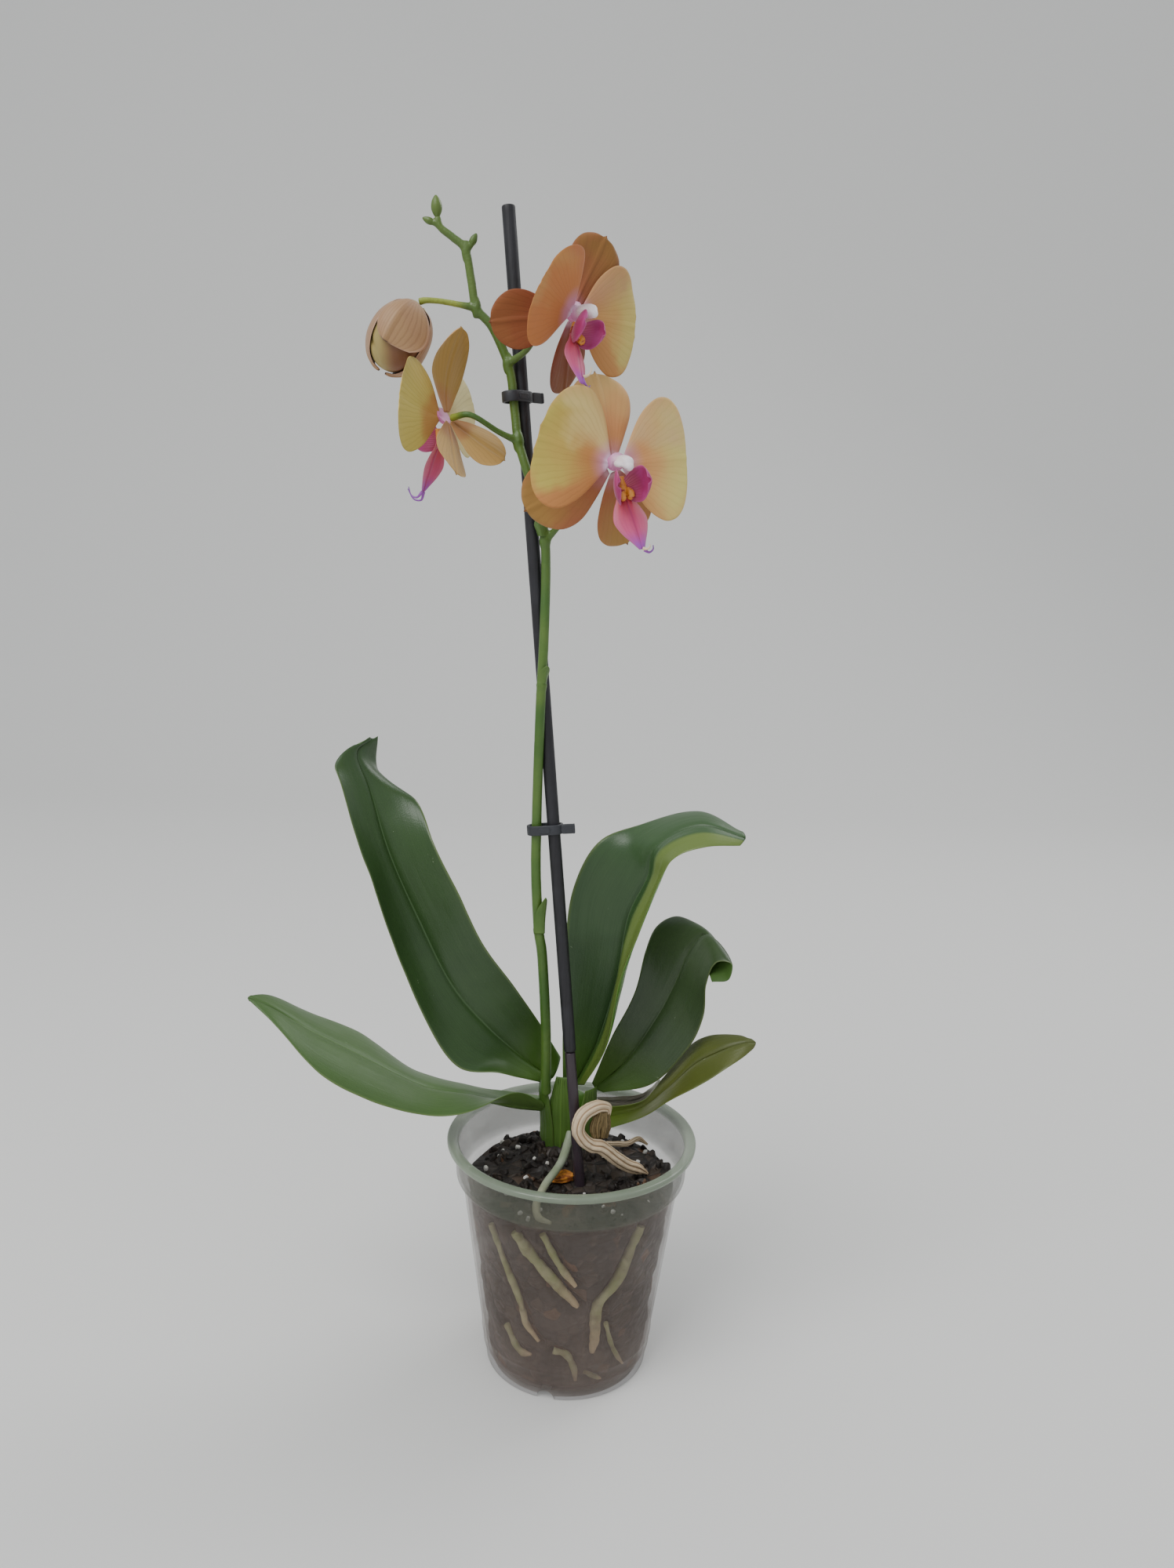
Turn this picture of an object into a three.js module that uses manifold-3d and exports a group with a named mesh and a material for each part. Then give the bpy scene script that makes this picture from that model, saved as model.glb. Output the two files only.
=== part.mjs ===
// Potted moth orchid: a clear nursery pot of bark mix, a staked flower spike with three open flowers and
// buds, five leaves and loose roots. Millimetres, +Z up. The origin is the centre of the pot's underside,
// +X is the side that two of the flowers face and -Y is the front.
import * as THREE from 'three';
import { mergeVertices } from 'three/addons/utils/BufferGeometryUtils.js';
import Module from 'manifold-3d';

const wasm = await Module();
wasm.setup();

// Driving dimensions, mm and degrees
const GAP = 0.35; // clearance between pieces that touch
const POT = {
  height: 115, rim: 60, base: 39.5, neck: 52.5, neckHeight: 95, collar: 55.2, wall: 1, floor: 4,
  channel: 3, pad: 8, foot: 3, sides: 36,
};
const MEDIUM = { bottom: POT.floor + GAP, top: 92.5 };
const STAKE = {
  foot: [4.6, -8.4, 93], top: [-38.2, 4, 534.7], seam: 160, radius: 2.9, footRadius: 2.5, bury: 70,
};
const CLIP = { height: 4.5, thickness: 1.2, tail: 6.3, tailThickness: 1.6, tailOffset: -2.2 };
const CROWN = { centre: [-2, 20, 0], wide: 12, deep: 8.5, bottom: 88, top: 128.5 };
const LEAF_THICKNESS = 1.8;
const PETAL_THICKNESS = 1;
const SEPAL_LAYER = -2.2; // sepals sit behind the petals
const CLAW = 3; // the petals start this far from the flower's axis

const FINISH = {
  clear_plastic: { color: 0x8d9288, roughness: 0.25, metalness: 0 },
  bark_mix: { color: 0x2b2320, roughness: 0.9, metalness: 0 },
  stake_sleeve: { color: 0x2e2d30, roughness: 0.55, metalness: 0 },
  stake_rod: { color: 0x3a3438, roughness: 0.35, metalness: 0 },
  clip_plastic: { color: 0x45474a, roughness: 0.5, metalness: 0 },
  stem: { color: 0x4e6e2a, roughness: 0.45, metalness: 0 },
  leaf: { color: 0x35522a, roughness: 0.35, metalness: 0 },
  petal: { color: 0xc9a872, roughness: 0.6, metalness: 0 },
  sepal: { color: 0xb98462, roughness: 0.6, metalness: 0 },
  lip: { color: 0xa0305f, roughness: 0.5, metalness: 0 },
  column: { color: 0xe8d5dd, roughness: 0.45, metalness: 0 },
  bud: { color: 0xa5825c, roughness: 0.6, metalness: 0 },
  fresh_root: { color: 0xa9ad7c, roughness: 0.6, metalness: 0 },
  dry_root: { color: 0xcdb494, roughness: 0.8, metalness: 0 },
  bark_chip: { color: 0xb06a20, roughness: 0.8, metalness: 0 },
};

const orchid = new THREE.Group();
const vector = ([x, y, z]) => new THREE.Vector3(x, y, z);
const radians = THREE.MathUtils.degToRad;

// Names a geometry, gives it its own material and adds it to a group.
function piece(name, geometry, finish, group = orchid) {
  const mesh = new THREE.Mesh(geometry, new THREE.MeshStandardMaterial(FINISH[finish]));
  mesh.name = name;
  group.add(mesh);
  return mesh;
}

function toSolid(geometry) {
  const bare = geometry.clone();
  bare.deleteAttribute('normal');
  bare.deleteAttribute('uv');
  const merged = mergeVertices(bare, 1e-3);
  const vertProperties = merged.attributes.position.array;
  const triVerts = new Uint32Array(merged.index.array);
  return new wasm.Manifold(new wasm.Mesh({ numProp: 3, vertProperties, triVerts }));
}

function toGeometry(solid) {
  const { vertProperties, triVerts } = solid.getMesh();
  const geometry = new THREE.BufferGeometry();
  geometry.setAttribute('position', new THREE.BufferAttribute(vertProperties, 3));
  geometry.setIndex(new THREE.BufferAttribute(triVerts, 1));
  return geometry;
}

const join = (...parts) => toGeometry(parts.map(toSolid).reduce((a, b) => a.add(b)));
const cut = (body, ...tools) => toGeometry(tools.map(toSolid).reduce((a, b) => a.subtract(b), toSolid(body)));
const smoothCurve = (points) => new THREE.CatmullRomCurve3(points.map(vector), false, 'catmullrom');

// A round tube through the points, with its radius given at even steps along it.
function tube(points, radii, sides = 7, steps = 3 * points.length) {
  const extrudePath = smoothCurve(points);
  const corner = (i) => new THREE.Vector2(1, 0).rotateAround(new THREE.Vector2(), (2 * Math.PI * i) / sides);
  const section = new THREE.Shape(Array.from({ length: sides }, (_, i) => corner(i)));
  const geometry = new THREE.ExtrudeGeometry(section, { extrudePath, steps, bevelEnabled: false });
  const centres = extrudePath.getSpacedPoints(steps);
  const position = geometry.attributes.position;
  const point = new THREE.Vector3();
  for (let i = 0; i < position.count; i++) {
    point.fromBufferAttribute(position, i);
    const distances = centres.map((centre) => centre.distanceTo(point));
    const k = distances.indexOf(Math.min(...distances));
    point.lerp(centres[k], 1 - radiusAt(radii, k / steps));
    position.setXYZ(i, point.x, point.y, point.z);
  }
  return geometry;
}

function radiusAt(radii, t) {
  const x = t * (radii.length - 1);
  const i = Math.min(Math.floor(x), radii.length - 2);
  return radii.length === 1 ? radii[0] : THREE.MathUtils.lerp(radii[i], radii[i + 1], x - i);
}

// A thin sheet over three rails (left margin, middle, right margin). Its margins are half as thick as its
// middle. See sheetSurface for crease.
function sheet(rails, thickness, { rows = 12, columns = 6, crease = 0.3 } = {}) {
  const surface = sheetSurface(rails, crease);
  const positions = [];
  for (const side of [1, -1]) {
    for (let j = 0; j <= rows; j++) {
      for (let i = 0; i <= columns; i++) {
        const u = (2 * i) / columns - 1;
        const t = j / rows;
        const half = (side * thickness * (1 - 0.5 * u * u)) / 2;
        positions.push(...surface(u, t).addScaledVector(sheetNormal(surface, u, t), half).toArray());
      }
    }
  }
  const geometry = new THREE.BufferGeometry();
  geometry.setAttribute('position', new THREE.Float32BufferAttribute(positions, 3));
  geometry.setIndex(sheetFaces(rows, columns));
  return geometry;
}

// The point at u across (-1 to 1) and t along (0 to 1): crease 0 is one smooth arch across the rails,
// crease 1 is a sharp fold along the middle.
function sheetSurface({ left, middle, right }, crease) {
  const rails = [left, middle, right].map(smoothCurve);
  return (u, t) => {
    const [l, m, r] = rails.map((rail) => rail.getPoint(t));
    const arch = m.clone().addScaledVector(r.clone().sub(l), u / 2);
    arch.addScaledVector(l.clone().add(r).multiplyScalar(0.5).sub(m), u * u);
    const fold = m.clone().lerp(u < 0 ? l : r, Math.abs(u));
    return arch.lerp(fold, crease);
  };
}

// Triangles of a sheet's front, back and edge.
function sheetFaces(rows, columns) {
  const index = [];
  const across = columns + 1;
  const back = across * (rows + 1);
  const quad = (a, b, c, d) => index.push(a, b, c, a, c, d);
  for (let j = 0; j < rows; j++) {
    for (let i = 0; i < columns; i++) {
      const a = j * across + i;
      quad(a, a + 1, a + 1 + across, a + across);
      quad(back + a, back + a + across, back + a + 1 + across, back + a + 1);
    }
  }
  const rim = sheetRim(rows, columns);
  rim.forEach((a, k) => {
    const b = rim[(k + 1) % rim.length];
    quad(b, a, back + a, back + b);
  });
  return index;
}

// The unit normal of a sheet, from four points close round the place.
function sheetNormal(surface, u, t) {
  const step = 0.02;
  const along = surface(u, Math.min(t + step, 1)).sub(surface(u, Math.max(t - step, 0)));
  const acrossIt = surface(u + step, t).sub(surface(u - step, t));
  return acrossIt.cross(along).normalize();
}

// Vertex numbers round a sheet's edge, anticlockwise seen from its front.
function sheetRim(rows, columns) {
  const across = columns + 1;
  const rim = [];
  for (let i = 0; i < columns; i++) rim.push(i);
  for (let j = 0; j < rows; j++) rim.push(j * across + columns);
  for (let i = columns; i > 0; i--) rim.push(rows * across + i);
  for (let j = rows; j > 0; j--) rim.push(j * across);
  return rim;
}

function lathe(profile, sides = POT.sides) {
  const points = profile.map(([radius, height]) => new THREE.Vector2(radius, height));
  return new THREE.LatheGeometry(points, sides).rotateX(Math.PI / 2);
}

// Pot: tapered wall, wider collar, flat lip; the underside has a foot ring, a raised channel with drain
// holes and a middle pad, and three drain notches in the foot.
const outerWall = (z) => POT.base + ((POT.neck - POT.base) * z) / POT.neckHeight;
const innerWall = (z) => outerWall(z) - POT.wall;

function potShell() {
  const { height, rim, neckHeight, collar, wall, floor, channel, pad, foot, base, neck } = POT;
  return lathe([
    [0, 0], [pad, 0], [pad + 1, channel], [base - foot - 1, channel], [base - foot, 0], [base, 0],
    [neck, neckHeight], [collar, neckHeight + 1.5], [collar + 1.2, height - 3.5], [rim - 1, height - 3.2],
    [rim, height - 2], [rim, height - 0.8], [rim - 0.8, height], [collar + 0.4, height],
    [collar + 0.2 - wall, height - 1.5], [collar - wall, neckHeight + 2.2], [neck - wall, neckHeight],
    [innerWall(floor), floor], [0, floor],
  ]);
}

function drainTools() {
  const notches = [257, 17, 137].map((azimuth) => new THREE.CylinderGeometry(4.2, 4.2, 6, 12)
    .scale(1, 1, 1.15).rotateZ(Math.PI / 2).translate(POT.base - 1, 0, 0).rotateZ(radians(azimuth)));
  const holes = [0, 1, 2, 3, 4, 5].map((i) => new THREE.CylinderGeometry(3.5, 3.5, 6, 10)
    .rotateX(Math.PI / 2).translate(24, 0, POT.floor - 0.5).rotateZ(radians(60 * i + 15)));
  return [...notches, ...holes];
}

piece('pot', cut(potShell(), ...drainTools()), 'clear_plastic');

// Support stake: a straight rod that leans left and back, thinner below its sleeve.
const stakeAt = (z) => {
  const [foot, top] = [vector(STAKE.foot), vector(STAKE.top)];
  return foot.lerp(top, (z - STAKE.foot[2]) / (STAKE.top[2] - STAKE.foot[2]));
};
const rod = (from, to, radius) => tube([from.toArray(), to.toArray()], [radius], 12, 1);
const stakeFoot = (extra = 0) => rod(stakeAt(STAKE.foot[2] - STAKE.bury - extra), stakeAt(STAKE.seam),
  STAKE.footRadius + extra);
piece('stake', rod(stakeAt(STAKE.seam + GAP), stakeAt(STAKE.top[2]), STAKE.radius), 'stake_sleeve');
piece('stake_foot', stakeFoot(), 'stake_rod');

// Flowers: each faces `turn` degrees to the right of straight ahead and `nod` degrees below level.
const FLOWERS = {
  upper: {
    at: [-8.6, -25, 486], size: 0.87, turn: 50, nod: 3, roll: -15, lipRoll: 0,
    dorsal: [81, 4, -22], dorsalCurl: 4,
    petals: { left: [182, 14, -20, 0.95], right: [14, 20] },
    laterals: { left: [208, -42, 0, 0.94], right: [314, -25] },
  },
  lower: {
    at: [10.4, -30, 426.8], size: 1, turn: 25, nod: 4, roll: 0, lipRoll: 12,
    dorsal: [97, -18], dorsalCurl: -2,
    petals: { left: [165, -8], right: [9, 0] },
    laterals: { left: [215, -32, 0, 1.05], right: [298, -25] },
  },
  left: {
    at: [-63.5, -8, 445.6], size: 0.87, turn: -118, nod: 5, roll: 0, lipRoll: 0,
    dorsal: [90, 6], dorsalCurl: -16,
    petals: { left: [158, 10], right: [15, 10, 0, 0.92] },
    laterals: { left: [229, -38, 0, 0.84], right: [296, -22, 0, 0.86] },
  },
};
const PETAL = { length: 31.5, halfWidths: [2.2, 16.5, 23, 23.5, 20, 13, 5], cup: 3, curl: -2 };
const DORSAL = { length: 36, halfWidths: [2.2, 7.5, 11.5, 12.5, 10.5, 6.5, 2] };
const LATERAL = { length: 37, halfWidths: [2.2, 8.5, 13, 13.5, 10.5, 6, 1.5] };

// Rails of a petal that lies along +Y and faces +Z. The half widths are given closer together towards
// the tip; cup lifts the margins and curl bends the tip, both towards +Z.
function petalRails({ length, halfWidths, cup = 2, curl = 0 }) {
  const widest = Math.max(...halfWidths);
  const stations = halfWidths.map((half, i) => {
    const s = Math.sin(((i / (halfWidths.length - 1)) * Math.PI) / 2);
    return { half, y: CLAW + length * s, z: curl * s * s };
  });
  const rail = (side) => stations.map(({ half, y, z }) => [
    side * half, y, z + Math.abs(side) * cup * (half / widest) ** 2,
  ]);
  return { left: rail(-1), middle: rail(0), right: rail(1) };
}

function flowerGroup({ at, turn, nod, size }) {
  const group = new THREE.Group();
  group.scale.setScalar(size);
  group.position.set(...at);
  group.rotation.set(radians(90 + nod), 0, radians(turn), 'ZXY');
  orchid.add(group);
  return group;
}

function setPetal(mesh, layer, angle, lean, twist = 0, size = 1) {
  mesh.position.z = layer;
  mesh.rotation.set(radians(lean), radians(twist), radians(angle - 90), 'ZXY');
  mesh.scale.set(size, size, 1);
}

function sideLobe(side) {
  const stations = [[1.2, 3, 3.5], [4.2, 6.5, 6], [6.2, 10.5, 6], [7.4, 13, 4], [7.6, 14.2, 1.2]];
  const rail = (end, inward) => stations.map(([x, z, half]) => [side * (x - inward), -8.5 + end * half, z]);
  return sheet({ left: rail(-side, 1.2), middle: rail(0, 0), right: rail(side, 1.2) }, 1, {
    rows: 5, columns: 4, crease: 0,
  });
}

function midLobe() {
  const stations = [[-11, 4, 2.5], [-17, 7, 5.5], [-24, 11, 6.5], [-30, 14, 4], [-34, 15, 1]];
  const rail = (side) => stations.map(([y, z, half]) => [side * half, y, z - 1.8 * Math.abs(side)]);
  return sheet({ left: rail(-1), middle: rail(0), right: rail(1) }, 1.2, {
    rows: 5, columns: 4, crease: 0.5,
  });
}

function lipGeometry() {
  const claw = tube([[0, -4.4, 2.8], [0, -8, 3], [0, -13, 4.6]], [1.8, 2, 2.2], 7, 4);
  const callus = new THREE.SphereGeometry(2.2, 7, 5).translate(0, -12.5, 6);
  return join(claw, callus, midLobe(), sideLobe(-1), sideLobe(1));
}

function flower(name, shape) {
  const group = flowerGroup(shape);
  const { dorsal, dorsalCurl, petals, laterals, roll, lipRoll } = shape;
  const blade = (part, rails, finish, layer, [angle, ...pose]) => {
    const geometry = sheet(rails, PETAL_THICKNESS, { rows: 7, columns: 4, crease: 0.1 });
    setPetal(piece(`${name}_${part}`, geometry, finish, group), layer, angle + roll, ...pose);
  };
  blade('dorsal_sepal', petalRails({ ...DORSAL, curl: dorsalCurl }), 'sepal', SEPAL_LAYER, dorsal);
  for (const side of ['left', 'right']) {
    blade(`${side}_lateral_sepal`, petalRails(LATERAL), 'sepal', SEPAL_LAYER, laterals[side]);
    blade(`${side}_petal`, petalRails(PETAL), 'petal', 0, petals[side]);
  }
  const lip = piece(`${name}_lip`, lipGeometry(), 'lip', group);
  lip.rotation.z = radians(roll + lipRoll);
  const columnGeometry = tube([[0, 1, 1.8], [0, 1.4, 6], [0, 0.6, 12]], [2.4, 2.3, 2.8], 8, 4);
  piece(`${name}_column`, columnGeometry, 'column', group).rotation.z = radians(roll);
}

for (const [name, shape] of Object.entries(FLOWERS)) flower(`${name}_flower`, shape);

// A point behind a flower, on its axis.
function behind({ at, turn, nod }, distance) {
  const facing = new THREE.Euler(radians(90 + nod), 0, radians(turn), 'ZXY');
  return vector(at).add(new THREE.Vector3(0, 0, -distance).applyEuler(facing)).toArray();
}

// Flower spike: one growth with its joints and the flower stalks
const SPIKE = [
  [-13.3, 11, 130.5], [-13.6, 10.3, 137], [-14, 8, 164], [-16.3, 0, 204], [-18.2, -2, 218], [-20, -3, 245],
  [-20.2, -3, 268], [-20.1, -4, 288], [-19.4, -7.5, 326], [-18.6, -7, 352], [-18.6, -3, 384],
  [-20, -3.5, 401], [-25.7, -7, 420], [-31.4, -5, 437], [-33.5, -3, 450], [-36.2, -2, 468],
  [-43.5, -2, 484], [-50.5, -2, 492], [-53, -2, 503.5], [-55.5, -2, 515],
  [-60.8, -2, 519.8], [-66, -2, 523.6], [-67.4, -2, 527.8],
];
const SPIKE_RADII = [2.5, 2.5, 2.4, 2.3, 2.2, 2.1, 2.1, 2, 1.9, 1.7, 1.5];
const JOINTS = [[-18.2, -2, 218, 2.9], [-19.1, -7.9, 333, 2.6], [-19.2, -3, 396, 3], [-31.6, -5, 437.5, 2.8],
  [-36.9, -2, 470, 2.6], [-50.6, -2, 492, 2.4], [-55.3, -2, 514.6, 2.1]];
const STALKS = [
  [[-36.6, -2, 470], [-28, -7, 475.5], behind(FLOWERS.upper, 15), behind(FLOWERS.upper, 3.4)],
  [[-19, -3, 396], [-13, -5, 403], [-4, -9, 414], behind(FLOWERS.lower, 12), behind(FLOWERS.lower, 3.4)],
  [[-31.5, -5, 437.5], [-40, -9, 441], behind(FLOWERS.left, 14), behind(FLOWERS.left, 3.4)],
  [[-50.5, -2, 492], [-58, -3, 493], [-65, -4, 493.8], [-71, -5, 493.9], [-74.6, -5.3, 493.2]],
  [[-55.5, -2, 515], [-54, -2, 516], [-53, -2, 516.8]],
  [[-66, -2, 523.6], [-67.8, -2, 525], [-69.6, -2, 525.6]],
];

function spikeGeometry() {
  const stem = tube(SPIKE, SPIKE_RADII, 7, 48);
  const joints = JOINTS.map(([x, y, z, radius]) => new THREE.SphereGeometry(radius, 7, 5).translate(x, y, z));
  const stalks = STALKS.map((points) => tube(points, [1.5, 1.25, 1.25, 1.5], 6, 2 * points.length));
  return join(stem, ...joints, ...stalks);
}

piece('flower_spike', spikeGeometry(), 'stem');

// Bracts: small scales that hug the spike above its joints
function bract(name, [x, y, z], lean, azimuth, height, radius) {
  const stations = [[0, 85], [0.3, 80], [0.65, 50], [1, 12]];
  const rail = (side) => stations.map(([s, spread]) => {
    const angle = radians(azimuth + side * spread);
    const reach = radius + 1.2 * s;
    return [x + lean * s + reach * Math.cos(angle), y + reach * Math.sin(angle), z + height * s];
  });
  const rails = { left: rail(-1), middle: rail(0), right: rail(1) };
  piece(name, sheet(rails, 0.6, { rows: 6, columns: 6, crease: 0 }), 'stem');
}

bract('lower_bract', [-18.4, -2.1, 221.5], -0.8, -35, 13, 3.3);
bract('middle_bract', [-19, -7.8, 336], 0.3, -60, 6, 2.9);
bract('upper_bract', [-20.2, -3.6, 400], -1.5, -100, 5, 3);

// Clips: a loop round the spike and the stake, square to the stake, with a tail on the right
function clip(name, z, spikeCentre) {
  const { height: depth, thickness, tail, tailThickness, tailOffset } = CLIP;
  const stakeCentre = stakeAt(z);
  const reach = stakeCentre.distanceTo(vector(spikeCentre));
  const hole = STAKE.radius + GAP;
  const shape = slot(new THREE.Shape(), hole + thickness, reach);
  shape.holes.push(slot(new THREE.Path(), hole, reach));
  const ring = new THREE.ExtrudeGeometry(shape, { depth, bevelEnabled: false, curveSegments: 4 });
  const tailStart = hole + thickness / 3;
  const tailBox = new THREE.BoxGeometry(tail, tailThickness, depth)
    .translate(tailStart + tail / 2, tailOffset, depth / 2);
  const mesh = piece(name, join(ring, tailBox), 'clip_plastic');
  const up = stakeAt(z + 1).sub(stakeCentre).normalize();
  const outward = stakeCentre.clone().sub(vector(spikeCentre)).projectOnPlane(up).normalize();
  mesh.matrix.makeBasis(outward, up.clone().cross(outward), up);
  mesh.quaternion.setFromRotationMatrix(mesh.matrix);
  mesh.position.copy(stakeCentre).addScaledVector(up, -depth / 2);
}

// Draws the outline of a slot with round ends, from the origin to -reach along X.
function slot(path, radius, reach) {
  path.absarc(0, 0, radius, -Math.PI / 2, Math.PI / 2);
  path.absarc(-reach, 0, radius, Math.PI / 2, (3 * Math.PI) / 2);
  return path;
}

clip('upper_clip', 456.5, [-34.8, -2.4, 456.5]);
clip('lower_clip', 267, [-20.2, -3, 267]);

// Leaves: rails from base to tip
const LEAVES = {
  left_low_leaf: {
    left: [[-15, 11.5, 125.5], [-28, -4, 137], [-47, -19, 134], [-64, -24, 134], [-90, -30, 143],
      [-114, -30, 155], [-136, -20, 173], [-152, -10, 182]],
    middle: [[-13, 17, 120], [-31, 8, 126], [-49, 0, 134], [-71, -3, 139], [-97, -6, 153], [-123, -8, 167],
      [-141, -9, 178], [-153, -9, 183]],
    right: [[-15, 23, 123], [-30, 19, 127], [-50, 18, 130], [-79, 20, 137], [-108, 19, 156], [-131, 14, 168],
      [-145, 2, 180], [-152, -8, 184]],
  },
  left_upright_leaf: {
    left: [[-16, 15, 134], [-34, -6, 148], [-54, -12, 153], [-69, -14, 176], [-85, -12, 214], [-98, -8, 250],
      [-110, 0, 283], [-114, 8, 294], [-101, 22, 303]],
    middle: [[-11, 20, 134], [-26, 12, 149], [-42, 6, 166], [-59, 2, 188], [-75, 4, 219], [-89, 6, 250],
      [-99, 12, 279], [-106, 16, 296], [-100, 24, 302]],
    right: [[-7, 24, 144], [-17, 14, 165], [-29, 4, 187], [-44, -4, 211], [-57, -6, 238], [-68, 0, 258],
      [-78, 14, 275], [-98, 28, 285], [-98, 26, 303]],
  },
  right_arching_leaf: {
    left: [[-5, 18, 131], [-6, 12, 161], [-6, 12, 203], [-3, 14, 233], [8, 16, 256], [28, 20, 265],
      [55, 13, 274], [74, -6, 269]],
    middle: [[0.5, 24, 129], [11.5, 21, 155], [19.5, 18, 187], [24, 14, 220], [32, 8, 242], [35, 2, 259],
      [54, -4, 271], [75, -10, 267]],
    right: [[5, 18, 132], [15, 2, 159], [20, -7, 194], [28, -9, 219], [37, -14, 248], [43, -18, 259],
      [56, -18, 264], [72, -14, 264]],
  },
  right_curled_leaf: {
    left: [[9.5, 23, 131], [18, 19, 157], [28.5, 17, 181], [33, 18, 202], [38, 18, 215], [47, 16, 221],
      [54, 10, 219], [52, 4, 215], [48, 6, 215]],
    middle: [[11, 26, 127], [26, 20, 145], [39, 16, 168], [47, 11, 188], [53, 4, 208], [59, -4, 219],
      [65, -9, 216], [65, -10, 210], [59, -6, 206]],
    right: [[15, 23, 126], [38, 12, 136], [54, 4, 158], [60, -3, 177], [60, -12, 197], [63, -21, 211],
      [70, -25, 212], [69, -24, 204], [62, -19, 201]],
  },
  right_low_leaf: {
    left: [[8, 22, 118], [33, 16, 125], [44, 14, 139], [55, 12, 156], [65, 8, 164], [77, 2, 167],
      [84, -3, 168]],
    middle: [[9, 24, 110], [33, 16, 121], [46, 8, 136], [58, 2, 152], [69, -2, 160], [79, -4, 165],
      [86, -4, 166]],
    right: [[11, 18, 106], [34, 4, 122], [46, -6, 136], [59, -12, 147], [70, -14, 156], [80, -9, 161],
      [84, -5, 164]],
  },
};
const leafGeometry = (name, extra = 0) =>
  sheet(LEAVES[name], LEAF_THICKNESS + extra, { rows: 16, columns: 4 });
for (const name of Object.keys(LEAVES)) piece(name, leafGeometry(name), 'leaf');

// Crown: the short stem in its leaf sheaths, cut away round the leaf bases
function crownGeometry(extra = 0) {
  const { centre, wide, deep, bottom, top } = CROWN;
  const swell = [[0.7, bottom - extra], [0.85, 96], [0.9, 112], [0.8, 121], [0.5, 127]];
  const side = swell.map(([radius, z]) => [radius + extra / deep, z]);
  return lathe([[0, bottom - extra], ...side, [0, top]], 20).scale(wide, deep, 1).translate(...centre);
}

const leafRoom = Object.keys(LEAVES).map((name) => leafGeometry(name, 2 * GAP));
piece('crown', cut(crownGeometry(), ...leafRoom), 'stem');

// Roots inside the wall: azimuth and height of each point, with the root against the wall
const WALL_ROOTS = {
  left_slim: { radius: 1.5, route: [[221, 85], [229, 70], [238, 54], [242, 43], [244, 37], [252, 30]] },
  broad_green: { radius: 2.4, route: [[239, 87], [244, 81], [252, 74], [265, 62], [277, 51]] },
  middle_slim: { radius: 1.6, route: [[256, 90], [265, 75], [275, 63]] },
  right_broad: { radius: 2.4, route: [[314, 88], [309, 77], [301, 61], [290, 50], [290, 31], [289, 24]] },
  right_slim: { radius: 1.1, route: [[296, 40], [304, 24], [316, 11]] },
  front_hook: { radius: 1.6, route: [[262, 26], [271, 24], [276, 17], [278, 9]] },
  front_low: { radius: 1.1, route: [[284, 14], [290, 11], [297, 8]] },
  left_low: { radius: 1.5, route: [[226, 32], [236, 21], [246, 21]] },
};

function wallRoot({ radius, route }, extra = 0) {
  const points = route.map(([azimuth, z]) => {
    const reach = innerWall(z) - GAP - 0.3 - radius;
    return [reach * Math.cos(radians(azimuth)), reach * Math.sin(radians(azimuth)), z];
  });
  return tube(points, [radius + extra], 6, 2 * route.length);
}

for (const [name, root] of Object.entries(WALL_ROOTS)) {
  piece(`${name}_wall_root`, wallRoot(root), 'fresh_root');
}

// Growing medium: fills the pot, with sockets for the stake and the crown and a groove for each wall root
function mediumGeometry() {
  const { bottom, top } = MEDIUM;
  const edge = (z) => innerWall(z) - GAP;
  const shoulder = top - 1.5;
  const fill = lathe([
    [0, bottom], [edge(bottom), bottom], [edge(shoulder), shoulder], [edge(top) - 2.5, top], [0, top],
  ]);
  const grooves = Object.values(WALL_ROOTS).map((root) => wallRoot(root, GAP));
  return cut(fill, stakeFoot(GAP), crownGeometry(GAP), ...grooves);
}

piece('growing_medium', mediumGeometry(), 'bark_mix');

// Loose roots above the medium
const DRY_ROOT = [
  [16, -6, 131], [11, -9, 133], [5, -13.3, 131], [3, -14.3, 125], [5, -14.3, 120], [9, -13, 116],
  [14, -11, 114], [20, -8, 108], [26, -4, 102], [32, 0, 97.8], [37, 2, 95],
];
const fibres = new THREE.SphereGeometry(1, 8, 6).scale(4, 3, 7).translate(13, -7.5, 124);
piece('dry_root', join(tube(DRY_ROOT, [3.6, 3.4, 3.1, 3, 3, 3, 2.8, 1.2], 8, 26), fibres), 'dry_root');

const GREY_ROOT = [
  [-1, 7.5, 112], [-2, 3, 108], [-4, -4, 104], [-7, -10, 101], [-12, -18, 97.5],
  [-15, -31, 96], [-14, -42, 95.5], [-8, -46.5, 95.2],
];
piece('grey_root', tube(GREY_ROOT, [1.9], 7, 20), 'fresh_root');

const THIN_ROOT = [[18, 16, 102], [22, 20, 100], [28, 25, 97.5], [34, 32, 96.8], [39, 30, 94.8]];
piece('thin_root', tube(THIN_ROOT, [1.1, 1.2, 0.9], 6, 12), 'dry_root');

// A loose chip of fresh bark and a dry papery leaf sheath
const chip = new THREE.IcosahedronGeometry(1, 1).scale(5, 3.4, 2.2).rotateZ(0.5).translate(-4.5, -5.5, 95.3);
piece('bark_chip', chip, 'bark_chip');

const SHEATH = {
  left: [[13, 27, 116], [24, 29, 115], [33, 29, 118], [40, 29, 124], [44, 29, 130]],
  middle: [[13, 28, 119], [24, 30.5, 118], [33, 30.5, 120], [39.5, 30, 125], [44, 29.5, 130.5]],
  right: [[12, 27, 121], [25, 29, 121], [33, 29, 122], [39, 29, 126], [43.6, 29, 131]],
};
piece('papery_sheath', sheet(SHEATH, 0.6, { rows: 8, columns: 4 }), 'dry_root');

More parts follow.
